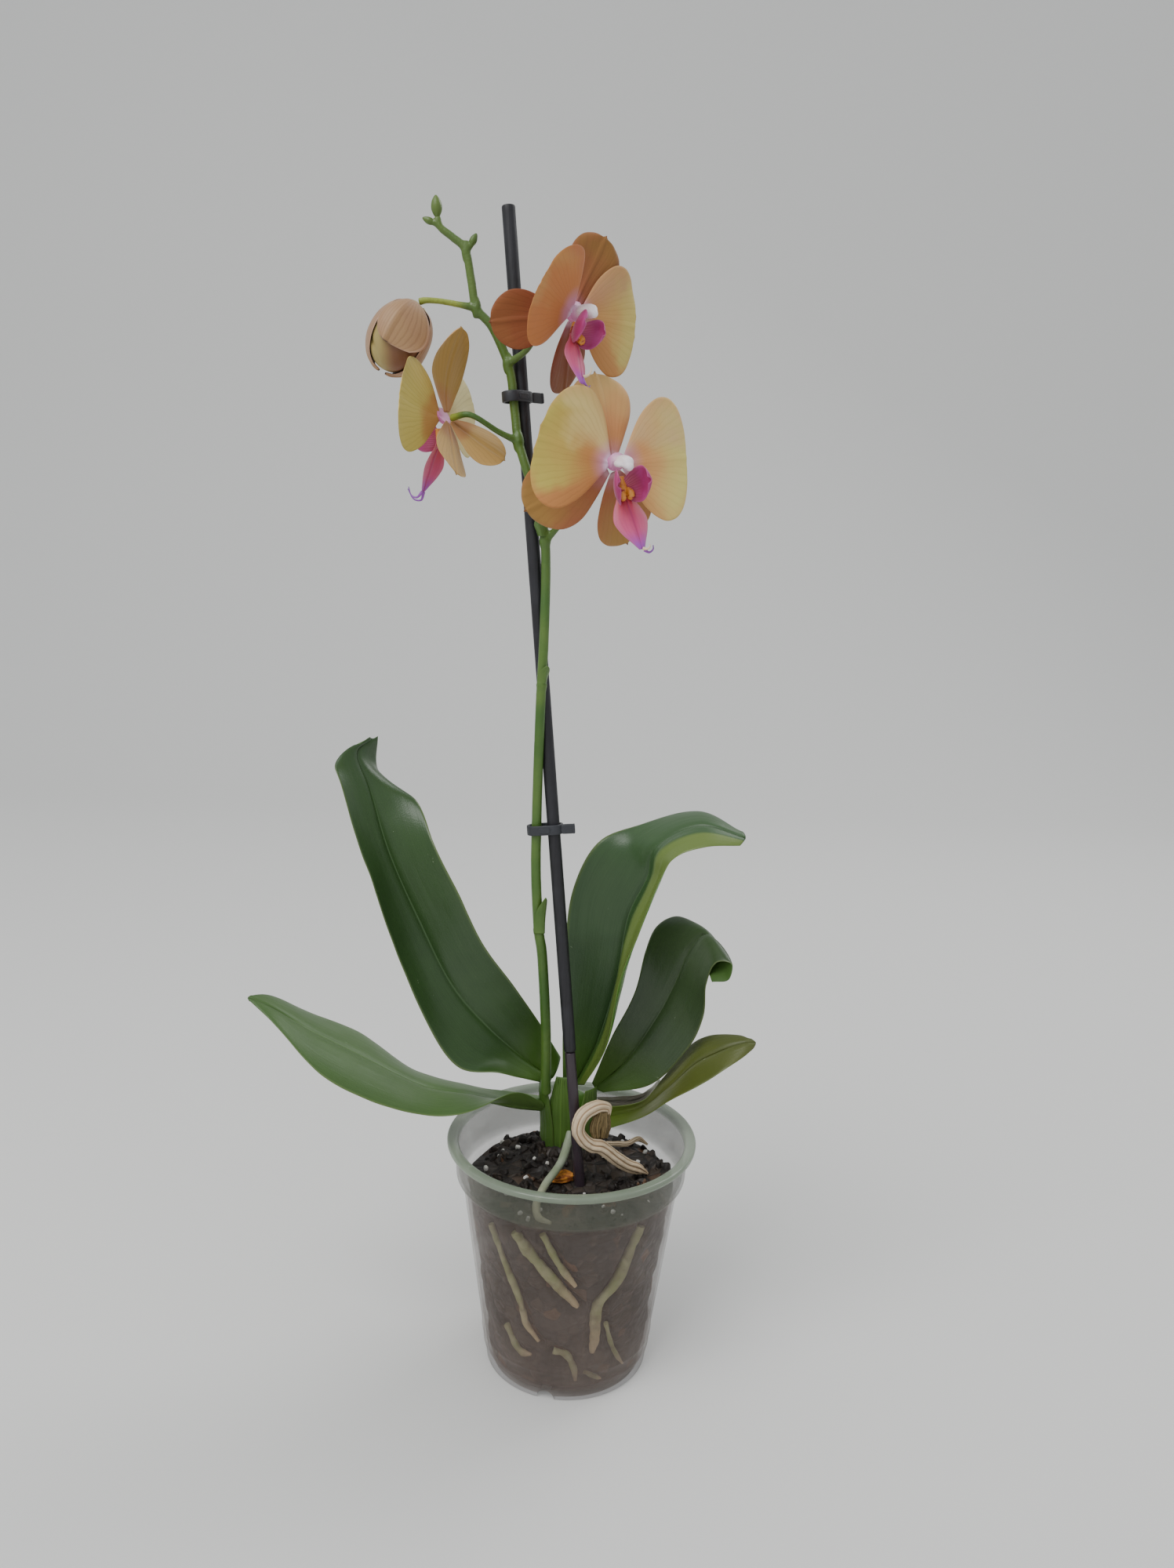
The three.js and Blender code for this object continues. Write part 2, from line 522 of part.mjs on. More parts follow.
// Opening bud: three sepals round the folded petals, with its apex down and to the left
const BUD = { base: [-75.2, -5.4, 492.4], apex: [-89.5, -9, 464.5], radius: 14.2, core: 12.6 };
const budAxis = vector(BUD.apex).sub(vector(BUD.base));
const bud = new THREE.Group();
bud.position.copy(vector(BUD.base)).addScaledVector(budAxis, 0.5);
bud.quaternion.setFromUnitVectors(new THREE.Vector3(0, 1, 0), budAxis.clone().normalize());
orchid.add(bud);

function budSepal(azimuth) {
  const half = budAxis.length() / 2;
  const rail = (side) => [14, 40, 70, 100, 130, 155, 170].map((polar) => {
    const sine = Math.sin(radians(polar));
    const angle = radians(azimuth + side * 54 * Math.sqrt(sine));
    const reach = BUD.radius * sine;
    return [reach * Math.sin(angle), -half * Math.cos(radians(polar)), reach * Math.cos(angle)];
  });
  return sheet({ left: rail(-1), middle: rail(0), right: rail(1) }, 1, { rows: 9, columns: 6, crease: 0 });
}

['front', 'right', 'left'].forEach((side, i) => piece(`bud_${side}_sepal`, budSepal(206 - 120 * i), 'bud', bud));
const core = new THREE.SphereGeometry(1, 12, 9).scale(BUD.core, budAxis.length() / 2 - 1.6, BUD.core);
piece('bud_petals', core, 'petal', bud);

// Unopened buds at the end of the spike
function smallBud(name, centre, radius, halfLength) {
  const grain = new THREE.SphereGeometry(1, 8, 6).rotateX(Math.PI / 2).scale(radius, radius, halfLength);
  piece(name, grain.translate(...centre), 'stem');
}

smallBud('tip_bud', [-67.6, -2, 530.7], 2.2, 2.7);
smallBud('right_side_bud', [-52, -2, 519.8], 1.6, 2.2);
smallBud('left_side_bud', [-71.7, -2, 526.4], 1.6, 2.2);

export default orchid;
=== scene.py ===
# %% [markdown]
# # A potted moth orchid
# The plant stands in a clear nursery pot of bark. Five thick leaves grow from a short crown, and one flower
# spike climbs a dark stake and carries three open flowers, an opening bud and three tiny ones.
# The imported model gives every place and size. Each piece made here takes the place of one simple solid.

import math

import bpy
import numpy as np
from mathutils import Matrix, Vector


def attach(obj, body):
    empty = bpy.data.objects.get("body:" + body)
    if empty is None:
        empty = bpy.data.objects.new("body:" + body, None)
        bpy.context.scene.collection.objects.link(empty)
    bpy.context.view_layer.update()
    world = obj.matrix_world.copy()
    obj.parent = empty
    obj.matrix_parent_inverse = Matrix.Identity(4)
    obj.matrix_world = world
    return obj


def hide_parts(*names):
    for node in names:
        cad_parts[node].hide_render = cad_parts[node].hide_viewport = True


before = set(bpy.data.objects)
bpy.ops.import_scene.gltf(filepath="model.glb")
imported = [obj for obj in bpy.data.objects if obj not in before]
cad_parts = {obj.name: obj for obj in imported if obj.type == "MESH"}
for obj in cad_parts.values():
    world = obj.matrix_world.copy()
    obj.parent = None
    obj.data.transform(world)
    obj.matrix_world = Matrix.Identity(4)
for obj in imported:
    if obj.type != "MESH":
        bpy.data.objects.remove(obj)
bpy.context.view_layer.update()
print(len(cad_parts), "solids in the frame")

# %% [markdown]
# The camera looks slightly down on the pot from the front, with a short lens held a little crooked.
# A pitch and a roll describe that better than a target point would.

# %% Camera
PITCH, ROLL = 0.1839, 0.0297
camera_data = bpy.data.cameras.new("camera")
camera_data.lens = 27
camera_data.sensor_width = 36
camera = bpy.data.objects.new("camera", camera_data)
turned = Matrix.Rotation(math.pi / 2 - PITCH, 4, "X") @ Matrix.Rotation(ROLL, 4, "Z")
camera.matrix_world = Matrix.Translation((0.002334, -0.52961, 0.38609)) @ turned
bpy.context.scene.collection.objects.link(camera)
bpy.context.scene.camera = camera
print("camera stands", round(camera.location.length, 3), "m from the origin")

# %% [markdown]
# The room is a pale floor that sweeps up into a pale wall, so no line crosses behind the flowers. One large
# soft light hangs overhead and towards the front left, and the sky fills in the shadows from every side.

# %% Floor and lights
def linear(code, strength=1.0):
    """A colour written as #rrggbb, in the linear numbers that shaders use."""
    parts = [int(code[i:i + 2], 16) / 255 for i in (1, 3, 5)]
    curve = [c / 12.92 if c <= 0.04045 else ((c + 0.055) / 1.055) ** 2.4 for c in parts]
    return (*(strength * c for c in curve), 1.0)


def sweep():
    """The outline of the floor and wall, front to back, as (y, z) points in metres."""
    bend = [math.radians(a) for a in range(0, 91, 6)]
    return [(-2.6, 0)] + [(1.3 + 0.9 * math.sin(a), 0.9 - 0.9 * math.cos(a)) for a in bend] + [(2.2, 3)]


outline = sweep()
floor_points = [(x, y, z) for y, z in outline for x in (-3, 3)]
floor_faces = [(2 * i, 2 * i + 1, 2 * i + 3, 2 * i + 2) for i in range(len(outline) - 1)]
floor_mesh = bpy.data.meshes.new("floor")
floor_mesh.from_pydata(floor_points, [], floor_faces)
floor_mesh.shade_smooth()
floor = bpy.data.objects.new("floor", floor_mesh)
bpy.context.scene.collection.objects.link(floor)
floor_paint = bpy.data.materials.new("pale_floor")
floor_paint.use_nodes = True
floor_paint.node_tree.nodes["Principled BSDF"].inputs["Base Color"].default_value = linear("#e3e2df")
floor_paint.node_tree.nodes["Principled BSDF"].inputs["Roughness"].default_value = 0.85
floor_mesh.materials.append(floor_paint)

sky = bpy.data.worlds.new("sky")
sky.use_nodes = True
sky.node_tree.nodes["Background"].inputs["Color"].default_value = linear("#eef2f6")
sky.node_tree.nodes["Background"].inputs["Strength"].default_value = 0.75
bpy.context.scene.world = sky


def soft_light(name, place, size, watts):
    """A square soft light that faces the middle of the plant."""
    lamp = bpy.data.lights.new(name, "AREA")
    lamp.size = size
    lamp.energy = watts
    light = bpy.data.objects.new(name, lamp)
    light.location = place
    light.rotation_euler = (Vector((0, 0, 0.25)) - light.location).to_track_quat("-Z", "Y").to_euler()
    bpy.context.scene.collection.objects.link(light)


soft_light("key_light", (-0.7, -0.9, 1.7), 1.1, 22)
soft_light("back_light", (0.9, 0.8, 1.5), 0.9, 9)
print("stage is set")

# %% [markdown]
# ## Tools for shapes
# Stems, sheets and turned walls are all built from points in millimetres. A Catmull-Rom curve passes through
# every point it is given, which makes a leaf easy to lay out: three such curves are its two margins and its
# middle.

# %% Curves, lumps and new pieces
MM = 0.001


def smooth_path(points, shares):
    """Points at the shares (0 to 1) of a Catmull-Rom curve."""
    p = np.asarray(points, float)
    p = np.vstack([2 * p[0] - p[1], p, 2 * p[-1] - p[-2]])
    x = np.clip(np.asarray(shares, float), 0, 1) * (len(p) - 3)
    i = np.minimum(x.astype(int), len(p) - 4)
    f = (x - i)[..., None]
    a, b, c, d = p[i], p[i + 1], p[i + 2], p[i + 3]
    bend, twist = 2 * a - 5 * b + 4 * c - d, 3 * b - a - 3 * c + d
    return 0.5 * (2 * b + (c - a) * f + bend * f ** 2 + twist * f ** 3)


def lumps(points, size, seed=0):
    """Smooth random lumps from -1 to 1, about `size` mm across, at each point."""
    q = np.asarray(points, float) / size
    cell = np.floor(q).astype(np.int64)
    f = q - cell
    f = f * f * (3 - 2 * f)
    total = np.zeros(q.shape[:-1])
    for corner in np.ndindex(2, 2, 2):
        at = cell + corner
        mixed = at[..., 0] * 374761393 + at[..., 1] * 668265263 + at[..., 2] * 1442695041 + seed * 9781
        mixed = (mixed ^ (mixed >> 13)) * 1274126177
        value = ((mixed ^ (mixed >> 16)) & 0xFFFF) / 32767.5 - 1
        total += value * np.prod(np.where(corner, f, 1 - f), axis=-1)
    return total


def new_piece(name, points, faces, uv=None, attributes=None):
    """A smooth mesh object from points in millimetres, with a UV map and values at its points."""
    mesh = bpy.data.meshes.new(name)
    mesh.from_pydata((np.asarray(points, float) * MM).tolist(), [], faces)
    mesh.shade_smooth()
    if uv is not None:
        corners = np.zeros(len(mesh.loops), int)
        mesh.loops.foreach_get("vertex_index", corners)
        mesh.uv_layers.new(name="UVMap").data.foreach_set("uv", np.asarray(uv, float)[corners].ravel())
    for key, values in (attributes or {}).items():
        fact = mesh.attributes.new(key, "FLOAT", "POINT")
        fact.data.foreach_set("value", np.asarray(values, float).ravel())
    piece = bpy.data.objects.new(name, mesh)
    bpy.context.scene.collection.objects.link(piece)
    return piece


def points_of(piece):
    """A piece's points, in mm."""
    return np.array([v.co for v in piece.data.vertices]) / MM


def set_points(piece, points):
    """Moves a piece's points, given in mm."""
    piece.data.vertices.foreach_set("co", (points * MM).ravel())


def place(piece, node, slot, material):
    """Finishes a piece: it rides on the plant, stands for its solid and gets its material."""
    if material:
        piece.data.materials.clear()
        piece.data.materials.append(material)
    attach(piece, "root")
    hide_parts(*([node] if isinstance(node, str) else node))
    return piece


def settled(piece):
    """Turns a piece and its modifiers into one plain mesh."""
    view = bpy.context.evaluated_depsgraph_get()
    mesh = bpy.data.meshes.new_from_object(piece.evaluated_get(view))
    piece.modifiers.clear()
    piece.data = mesh
    mesh.name = piece.name
    return piece


print("shape tools ready")

# %% [markdown]
# A sheet is a leaf or a petal: a grid laid over its three rails, once for the front and once for the back,
# and closed round the edge. `fold` is how sharply it creases along the middle, and a relief function raises
# grooves, keels and waves. The points keep two facts for the materials: how near the rim they are, and
# whether they lie on the front.

# %% Sheets
def sheet_faces(rows, columns):
    """Faces of a closed sheet of rows by columns, front first."""
    wide = columns + 1
    back = wide * (rows + 1)
    j, i = np.mgrid[0:rows, 0:columns]
    a = (j * wide + i).ravel()
    front = np.stack([a, a + 1, a + 1 + wide, a + wide], 1)
    behind = np.stack([back + a, back + a + wide, back + a + 1 + wide, back + a + 1], 1)
    rim = np.array([*range(columns), *(k * wide + columns for k in range(rows)),
                    *(rows * wide + k for k in range(columns, 0, -1)),
                    *(k * wide for k in range(rows, 0, -1))])
    after = np.roll(rim, -1)
    edge = np.stack([after, rim, back + rim, back + after], 1)
    return np.vstack([front, behind, edge]).tolist()


def sheet_points(rails, rows, columns, fold):
    """The grid over three rails, with u across (-1 to 1) and t along (0 to 1)."""
    u, t = np.meshgrid(np.linspace(-1, 1, columns + 1), np.linspace(0, 1, rows + 1))
    left, middle, right = (smooth_path(rail, t) for rail in rails)
    across = u[..., None]
    arch = middle + across * (right - left) / 2 + across ** 2 * ((left + right) / 2 - middle)
    crease = middle + np.abs(across) * (np.where(across < 0, left, right) - middle)
    return arch + (crease - arch) * fold, u, t


def grid_normals(grid):
    """The front's unit normal at each point of a grid."""
    facing = np.cross(np.gradient(grid, axis=1), np.gradient(grid, axis=0))
    length = np.linalg.norm(facing, axis=-1, keepdims=True)
    return facing / np.maximum(length, 1e-9)


def sheet(name, rails, thickness, rows=90, columns=36, fold=0.3, relief=None, uv=None, move=None,
          outline=None):
    """A closed leaf or petal. relief(u, t, grid) gives heights in mm, and uv(u, t, grid) its map."""
    grid, u, t = sheet_points(rails, rows, columns, fold)
    if outline is not None:
        grid = outline(grid, u, t)
    height = relief(u, t, grid) if relief else np.zeros_like(u)
    grid = grid + grid_normals(grid) * height[..., None]
    normal = grid_normals(grid)
    half = thickness / 2 * np.sqrt(np.clip(1 - np.abs(u) ** 6, 0, 1)) * (1 - 0.4 * u ** 2)
    half = np.maximum(half * np.sqrt(np.clip(1 - t ** 14, 0, 1)), 0.06)[..., None]
    points = np.concatenate([(grid + normal * half).reshape(-1, 3), (grid - normal * half).reshape(-1, 3)])
    if move is not None:
        points = points @ np.array(move.to_3x3()).T + np.array(move.translation)
    flat = uv(u, t, grid) if uv else np.stack([(u + 1) / 2, t], -1)
    flat = np.concatenate([flat.reshape(-1, 2)] * 2)
    rim = np.maximum(np.abs(u), np.clip(2 * t - 1, 0, 1) ** 2).ravel()
    facts = {"rim": np.concatenate([rim, rim]), "front": np.repeat([1.0, 0.0], rim.size)}
    return new_piece(name, points, sheet_faces(rows, columns), flat, facts)


print("sheets ready")

# %% [markdown]
# Stems, roots and the stake follow a path, so Geometry Nodes make them: a line of points becomes a curve, a
# round section is swept along it with the radius kept at each point, and lumps push its skin in and out.
# The points keep their share of the way along, for the materials.

# %% Geometry Nodes: a stem along a path
def node_tree(name, sockets):
    """An empty Geometry Nodes tree with a geometry going in and out, and named inputs."""
    tree = bpy.data.node_groups.new(name, "GeometryNodeTree")
    tree.interface.new_socket("Geometry", in_out="INPUT", socket_type="NodeSocketGeometry")
    tree.interface.new_socket("Geometry", in_out="OUTPUT", socket_type="NodeSocketGeometry")
    for label, kind, value in sockets:
        socket = tree.interface.new_socket(label, in_out="INPUT", socket_type="NodeSocket" + kind)
        if value is not None:
            socket.default_value = value
    return tree, tree.nodes.new("NodeGroupInput"), tree.nodes.new("NodeGroupOutput")


def wire(tree, kind, inputs, **settings):
    """Adds a node, sets its properties, and links or sets its inputs."""
    node = tree.nodes.new(kind)
    for key, value in settings.items():
        setattr(node, key, value)
    for key, value in inputs.items():
        if isinstance(value, bpy.types.NodeSocket):
            tree.links.new(value, node.inputs[key])
        else:
            node.inputs[key].default_value = value
    return node


def stem_tree():
    """Sweeps a round section along each line of the mesh, roughens it and paints it."""
    tree, given, result = node_tree("stem_along_a_path", [
        ("Sides", "Int", 24), ("Lump Height", "Float", 0.0), ("Lump Size", "Float", 4.0),
        ("Ridges", "Float", 0.0), ("Material", "Material", None)])
    curve = wire(tree, "GeometryNodeMeshToCurve", {"Mesh": given.outputs["Geometry"]})
    wide = wire(tree, "GeometryNodeInputNamedAttribute", {"Name": "radius"}, data_type="FLOAT")
    sized = wire(tree, "GeometryNodeSetCurveRadius", {"Curve": curve.outputs[0], "Radius": wide.outputs[0]})
    share = wire(tree, "GeometryNodeSplineParameter", {})
    marked = wire(tree, "GeometryNodeStoreNamedAttribute",
                  {"Geometry": sized.outputs[0], "Name": "along", "Value": share.outputs["Factor"]},
                  data_type="FLOAT", domain="POINT")
    ring = wire(tree, "GeometryNodeCurvePrimitiveCircle",
                {"Resolution": given.outputs["Sides"], "Radius": 1.0}, mode="RADIUS")
    turn = wire(tree, "GeometryNodeStoreNamedAttribute",
                {"Geometry": ring.outputs[0], "Name": "around", "Value": share.outputs["Factor"]},
                data_type="FLOAT", domain="POINT")
    swept = wire(tree, "GeometryNodeCurveToMesh",
                 {"Curve": marked.outputs[0], "Profile Curve": turn.outputs[0], "Fill Caps": True})
    if "Scale" in swept.inputs:
        tree.links.new(wide.outputs[0], swept.inputs["Scale"])
    where = wire(tree, "GeometryNodeInputPosition", {})
    fine = wire(tree, "ShaderNodeMath", {0: 1000.0, 1: given.outputs["Lump Size"]}, operation="DIVIDE")
    bumps = wire(tree, "ShaderNodeTexNoise",
                 {"Vector": where.outputs[0], "Scale": fine.outputs[0], "Detail": 3.0})
    centred = wire(tree, "ShaderNodeMath", {0: bumps.outputs[0], 1: 0.5}, operation="SUBTRACT")
    lifted = wire(tree, "ShaderNodeMath", {0: centred.outputs[0], 1: given.outputs["Lump Height"]},
                  operation="MULTIPLY")
    angle = wire(tree, "GeometryNodeInputNamedAttribute", {"Name": "around"}, data_type="FLOAT")
    waves = wire(tree, "ShaderNodeMath", {0: angle.outputs[0], 1: 2 * math.pi * 7}, operation="MULTIPLY")
    wave = wire(tree, "ShaderNodeMath", {0: waves.outputs[0]}, operation="SINE")
    ridge = wire(tree, "ShaderNodeMath", {0: wave.outputs[0], 1: given.outputs["Ridges"]},
                 operation="MULTIPLY")
    height = wire(tree, "ShaderNodeMath", {0: lifted.outputs[0], 1: ridge.outputs[0]}, operation="ADD")
    outward = wire(tree, "GeometryNodeInputNormal", {})
    push = wire(tree, "ShaderNodeVectorMath", {0: outward.outputs[0], "Scale": height.outputs[0]},
                operation="SCALE")
    moved = wire(tree, "GeometryNodeSetPosition", {"Geometry": swept.outputs[0], "Offset": push.outputs[0]})
    soft = wire(tree, "GeometryNodeSetShadeSmooth", {"Geometry": moved.outputs[0]})
    real = wire(tree, "GeometryNodeRealizeInstances", {"Geometry": soft.outputs[0]})
    painted = wire(tree, "GeometryNodeSetMaterial",
                   {"Geometry": real.outputs[0], "Material": given.outputs["Material"]})
    tree.links.new(painted.outputs[0], result.inputs[0])
    return tree


STEM_TREE = stem_tree()


def use_tree(piece, tree, values):
    """Adds a Geometry Nodes modifier to a piece and sets its named inputs."""
    modifier = piece.modifiers.new(tree.name, "NODES")
    modifier.node_group = tree
    for item in tree.interface.items_tree:
        if item.item_type == "SOCKET" and item.in_out == "INPUT" and item.name in values:
            modifier[item.identifier] = values[item.name]
    return modifier


def plain_lines(name, points, edges, radii):
    """A mesh of plain lines in metres, with the radius at each point."""
    mesh = bpy.data.meshes.new(name)
    mesh.from_pydata(points, edges, [])
    mesh.attributes.new("radius", "FLOAT", "POINT").data.foreach_set("value", radii)
    piece = bpy.data.objects.new(name, mesh)
    bpy.context.scene.collection.objects.link(piece)
    return piece


def path_lines(name, paths):
    """Plain lines, one for each (points, radii, steps)."""
    points, edges, radii = [], [], []
    for route, widths, steps in paths:
        t = np.linspace(0, 1, steps + 1)
        line = smooth_path(route, t)
        wide = np.interp(t, np.linspace(0, 1, len(widths)), widths)
        start = len(points)
        points += (line * MM).tolist()
        radii += (wide * MM).tolist()
        edges += [(start + k, start + k + 1) for k in range(steps)]
    return plain_lines(name, points, edges, radii)


def stem(name, paths, material, sides=24, lump=0.0, lump_size=4.0, ridges=0.0):
    """Round stems along paths, as one plain mesh."""
    piece = path_lines(name, paths)
    use_tree(piece, STEM_TREE, {"Sides": sides, "Lump Height": lump * MM, "Lump Size": lump_size,
                                "Ridges": ridges * MM, "Material": material})
    return settled(piece)


print("stem tree has", len(STEM_TREE.nodes), "nodes")

# %% [markdown]
# ## Tools for finishes
# A short way to write shader nodes keeps the materials readable: each call adds one node and hands back its
# output. Effects that several finishes share are node groups: a blotchy mask, a fine grain to bump the
# skin, and veins that fan out or run along a map.

# %% Shader wiring
class Wiring:
    """Adds shader nodes to one tree. Each method returns an output socket."""

    def __init__(self, tree):
        self.tree = tree

    def add(self, kind, inputs=None, output=0, **settings):
        return wire(self.tree, "ShaderNode" + kind, inputs or {}, **settings).outputs[output]

    def math(self, operation, a, b=0.0):
        return self.add("Math", {0: a, 1: b}, operation=operation)

    def mix(self, share, a, b):
        return self.add("Mix", {0: share, 6: a, 7: b}, output=2, data_type="RGBA")

    def spread(self, value, low, high, to_low=0.0, to_high=1.0):
        return self.add("MapRange", {"Value": value, "From Min": low, "From Max": high,
                                     "To Min": to_low, "To Max": to_high}, interpolation_type="SMOOTHSTEP")

    def noise(self, where, scale, detail=3.0, warp=0.0):
        return self.add("TexNoise", {"Vector": where, "Scale": scale, "Detail": detail, "Distortion": warp})

    def place(self):
        return self.add("TexCoord", output="Object")

    def map(self):
        return self.add("TexCoord", output="UV")

    def fact(self, name):
        return self.add("Attribute", output="Fac", attribute_name=name)

    def bump(self, height, strength, distance):
        return self.add("Bump", {"Height": height, "Strength": strength, "Distance": distance})

    def group(self, tree, inputs):
        return self.add("Group", inputs, node_tree=tree)


def shared_effect(name, inputs, output="Mask"):
    """An empty shader group with named float or vector inputs and one float output."""
    tree = bpy.data.node_groups.new(name, "ShaderNodeTree")
    for label, kind, value in inputs:
        socket = tree.interface.new_socket(label, in_out="INPUT", socket_type="NodeSocket" + kind)
        if value is not None:
            socket.default_value = value
    tree.interface.new_socket(output, in_out="OUTPUT", socket_type="NodeSocketFloat")
    return Wiring(tree), tree.nodes.new("NodeGroupInput").outputs, tree.nodes.new("NodeGroupOutput").inputs


def blotch_group():
    """Soft blotches: 0 to 1, with how much is covered and how soft the edge is."""
    w, given, result = shared_effect("blotches", [("Vector", "Vector", None), ("Scale", "Float", 60.0),
                                                  ("Cover", "Float", 0.5), ("Softness", "Float", 0.15)])
    cloud = w.noise(given["Vector"], given["Scale"], 4.0, 0.4)
    level = w.math("SUBTRACT", 1.0, given["Cover"])
    low = w.math("SUBTRACT", level, given["Softness"])
    high = w.math("ADD", level, given["Softness"])
    w.tree.links.new(w.spread(cloud, low, high), result["Mask"])
    return w.tree


def grain_group():
    """A fine pebbled skin with a slower swell under it."""
    w, given, result = shared_effect("skin_grain", [("Vector", "Vector", None), ("Scale", "Float", 900.0)],
                                     "Height")
    cells = w.add("TexVoronoi", {"Vector": given["Vector"], "Scale": given["Scale"]}, output="Distance")
    swell = w.noise(given["Vector"], w.math("DIVIDE", given["Scale"], 9.0), 3.0)
    mixed = w.math("ADD", w.math("MULTIPLY", cells, 0.35), w.math("MULTIPLY", swell, 0.65))
    w.tree.links.new(mixed, result["Height"])
    return w.tree


def vein_group():
    """Thin wandering lines across the map's first coordinate."""
    w, given, result = shared_effect("veins", [("Vector", "Vector", None), ("Count", "Float", 30.0),
                                               ("Wander", "Float", 0.5), ("Width", "Float", 0.25)])
    drift = w.math("MULTIPLY", w.math("SUBTRACT", w.noise(given["Vector"], 5.0, 2.0), 0.5), given["Wander"])
    across = w.add("SeparateXYZ", {0: given["Vector"]}, output="X")
    phase = w.math("ADD", w.math("MULTIPLY", across, given["Count"]), drift)
    ripple = w.math("ABSOLUTE", w.math("SUBTRACT", w.math("FRACT", phase), 0.5))
    w.tree.links.new(w.spread(ripple, 0.0, given["Width"], 1.0, 0.0), result["Mask"])
    return w.tree


BLOTCHES, GRAIN, VEINS = blotch_group(), grain_group(), vein_group()


def finish(name, **plain):
    """A new material: its wiring and its shader, with plain values set on the shader's own sockets."""
    material = bpy.data.materials.new(name)
    material.use_nodes = True
    shader = material.node_tree.nodes["Principled BSDF"]
    for key, value in plain.items():
        shader.inputs[key.replace("_", " ")].default_value = value
    return material, Wiring(material.node_tree), shader.inputs


def feed(w, sockets, **outputs):
    """Links outputs to the shader's sockets by name."""
    for key, output in outputs.items():
        w.tree.links.new(output, sockets[key.replace("_", " ")])


print("shared effects:", BLOTCHES.name, GRAIN.name, VEINS.name)

# %% [markdown]
# ## The pot
# A nursery orchid pot is thin clear plastic, so that light reaches the roots. Its wall tapers to a foot with
# three drain notches, and above a step it widens into a thicker, greener collar with a flat lip. The wall is
# a turned outline, spun round the axis, with the notches and drain holes cut out of it.

# %% Pot outline
POT_BASE, POT_NECK, NECK_HEIGHT, COLLAR, LIP, POT_HEIGHT = 39.5, 52.5, 95, 55.2, 60, 115


def wall_inside(z):
    """The inside radius of the wall at a height, in mm."""
    return POT_BASE - 1 + (POT_NECK - POT_BASE) * z / NECK_HEIGHT


def pot_outline():
    """The wall's outline from the middle of the underside to the middle of the floor."""
    base, neck, up = POT_BASE, POT_NECK, NECK_HEIGHT
    slope = (neck - base) / up
    beads = [(base + slope * (z + dz) + out, z + dz) for z in (9, 15.5) for dz, out in
             ((-1.1, 0), (-0.5, 0.35), (0, 0.45), (0.5, 0.35), (1.1, 0))]
    return [
        (0, 0), (7.4, 0), (8, 0.4), (9, 3), (base - 4.4, 3), (base - 3.3, 0.5), (base - 2.8, 0),
        (base - 0.5, 0), (base, 0.5), *beads, (base + slope * 55, 55),
        (neck, up), (neck + 0.6, up + 0.3), (neck + 2.2, up + 1.1),
        (COLLAR, up + 1.8), (COLLAR + 0.25, up + 2.6), (COLLAR + 1, POT_HEIGHT - 4.6),
        (COLLAR + 1.5, POT_HEIGHT - 3.5), (LIP - 1.1, POT_HEIGHT - 3.2), (LIP - 0.3, POT_HEIGHT - 2.7),
        (LIP, POT_HEIGHT - 1.8), (LIP, POT_HEIGHT - 0.9), (LIP - 0.3, POT_HEIGHT - 0.3),
        (LIP - 1, POT_HEIGHT), (COLLAR + 0.9, POT_HEIGHT), (COLLAR + 0.2, POT_HEIGHT - 0.3),
        (COLLAR - 0.6, POT_HEIGHT - 1.3), (COLLAR - 1, up + 3), (COLLAR - 1.4, up + 2.2),
        (neck - 0.6, up + 0.6), (neck - 1, up - 0.2), (wall_inside(55), 55), (wall_inside(5), 5),
        (wall_inside(4.2) - 0.6, 4.15), (wall_inside(4) - 1.6, 4), (0, 4),
    ]


def spun(name, outline, sides):
    """A closed shape turned round the z axis. The outline starts and ends on the axis."""
    angle = np.linspace(0, 2 * math.pi, sides, endpoint=False)
    rings = [np.stack([r * np.cos(angle), r * np.sin(angle), np.full(sides, z)], 1) for r, z in outline[1:-1]]
    points = np.vstack([[[0, 0, outline[0][1]]], *rings, [[0, 0, outline[-1][1]]]])
    top = len(points) - 1
    faces = [(0, 1 + (i + 1) % sides, 1 + i) for i in range(sides)]
    for k in range(len(rings) - 1):
        a = 1 + k * sides
        faces += [(a + i, a + (i + 1) % sides, a + sides + (i + 1) % sides, a + sides + i)
                  for i in range(sides)]
    last = top - sides
    faces += [(top, last + i, last + (i + 1) % sides) for i in range(sides)]
    return new_piece(name, points, faces)


def cutter(radius, depth, at, azimuth, flat):
    """A cylinder to cut with: flat on for a drain hole, or along the radius for a notch."""
    bpy.ops.mesh.primitive_cylinder_add(vertices=40, radius=radius * MM, depth=depth * MM)
    tool = bpy.context.object
    turn = Matrix.Rotation(math.radians(azimuth), 4, "Z")
    tip = Matrix.Identity(4) if flat else Matrix.Rotation(math.pi / 2, 4, "Y")
    grow = Matrix.Identity(4) if flat else Matrix.Diagonal((1.15, 1, 1, 1))
    tool.data.transform(turn @ Matrix.Translation(Vector(at) * MM) @ tip @ grow)
    return tool


def cut_away(piece, tools):
    """Takes the tools' shapes out of a piece and removes them."""
    for tool in tools:
        cut = piece.modifiers.new("cut", "BOOLEAN")
        cut.operation, cut.solver, cut.object = "DIFFERENCE", "EXACT", tool
    settled(piece)
    for tool in tools:
        bpy.data.objects.remove(tool)
    return piece


pot = spun("clear_pot", pot_outline(), 144)
cut_away(pot, [cutter(4.2, 9, (POT_BASE - 1, 0, 0), a, False) for a in (257, 17, 137)]
         + [cutter(3.5, 8, (24, 0, 3.5), 60 * i + 15, True) for i in range(6)])
print("pot has", len(pot.data.vertices), "points")

# %% [markdown]
# The plastic is see-through rather than glassy, because so thin a wall bends no light. A pale veil of
# moisture, scuffs and roots' bloom sits on it, heavier low down, and the thick collar looks grey-green. At a
# glancing angle more of it shows.

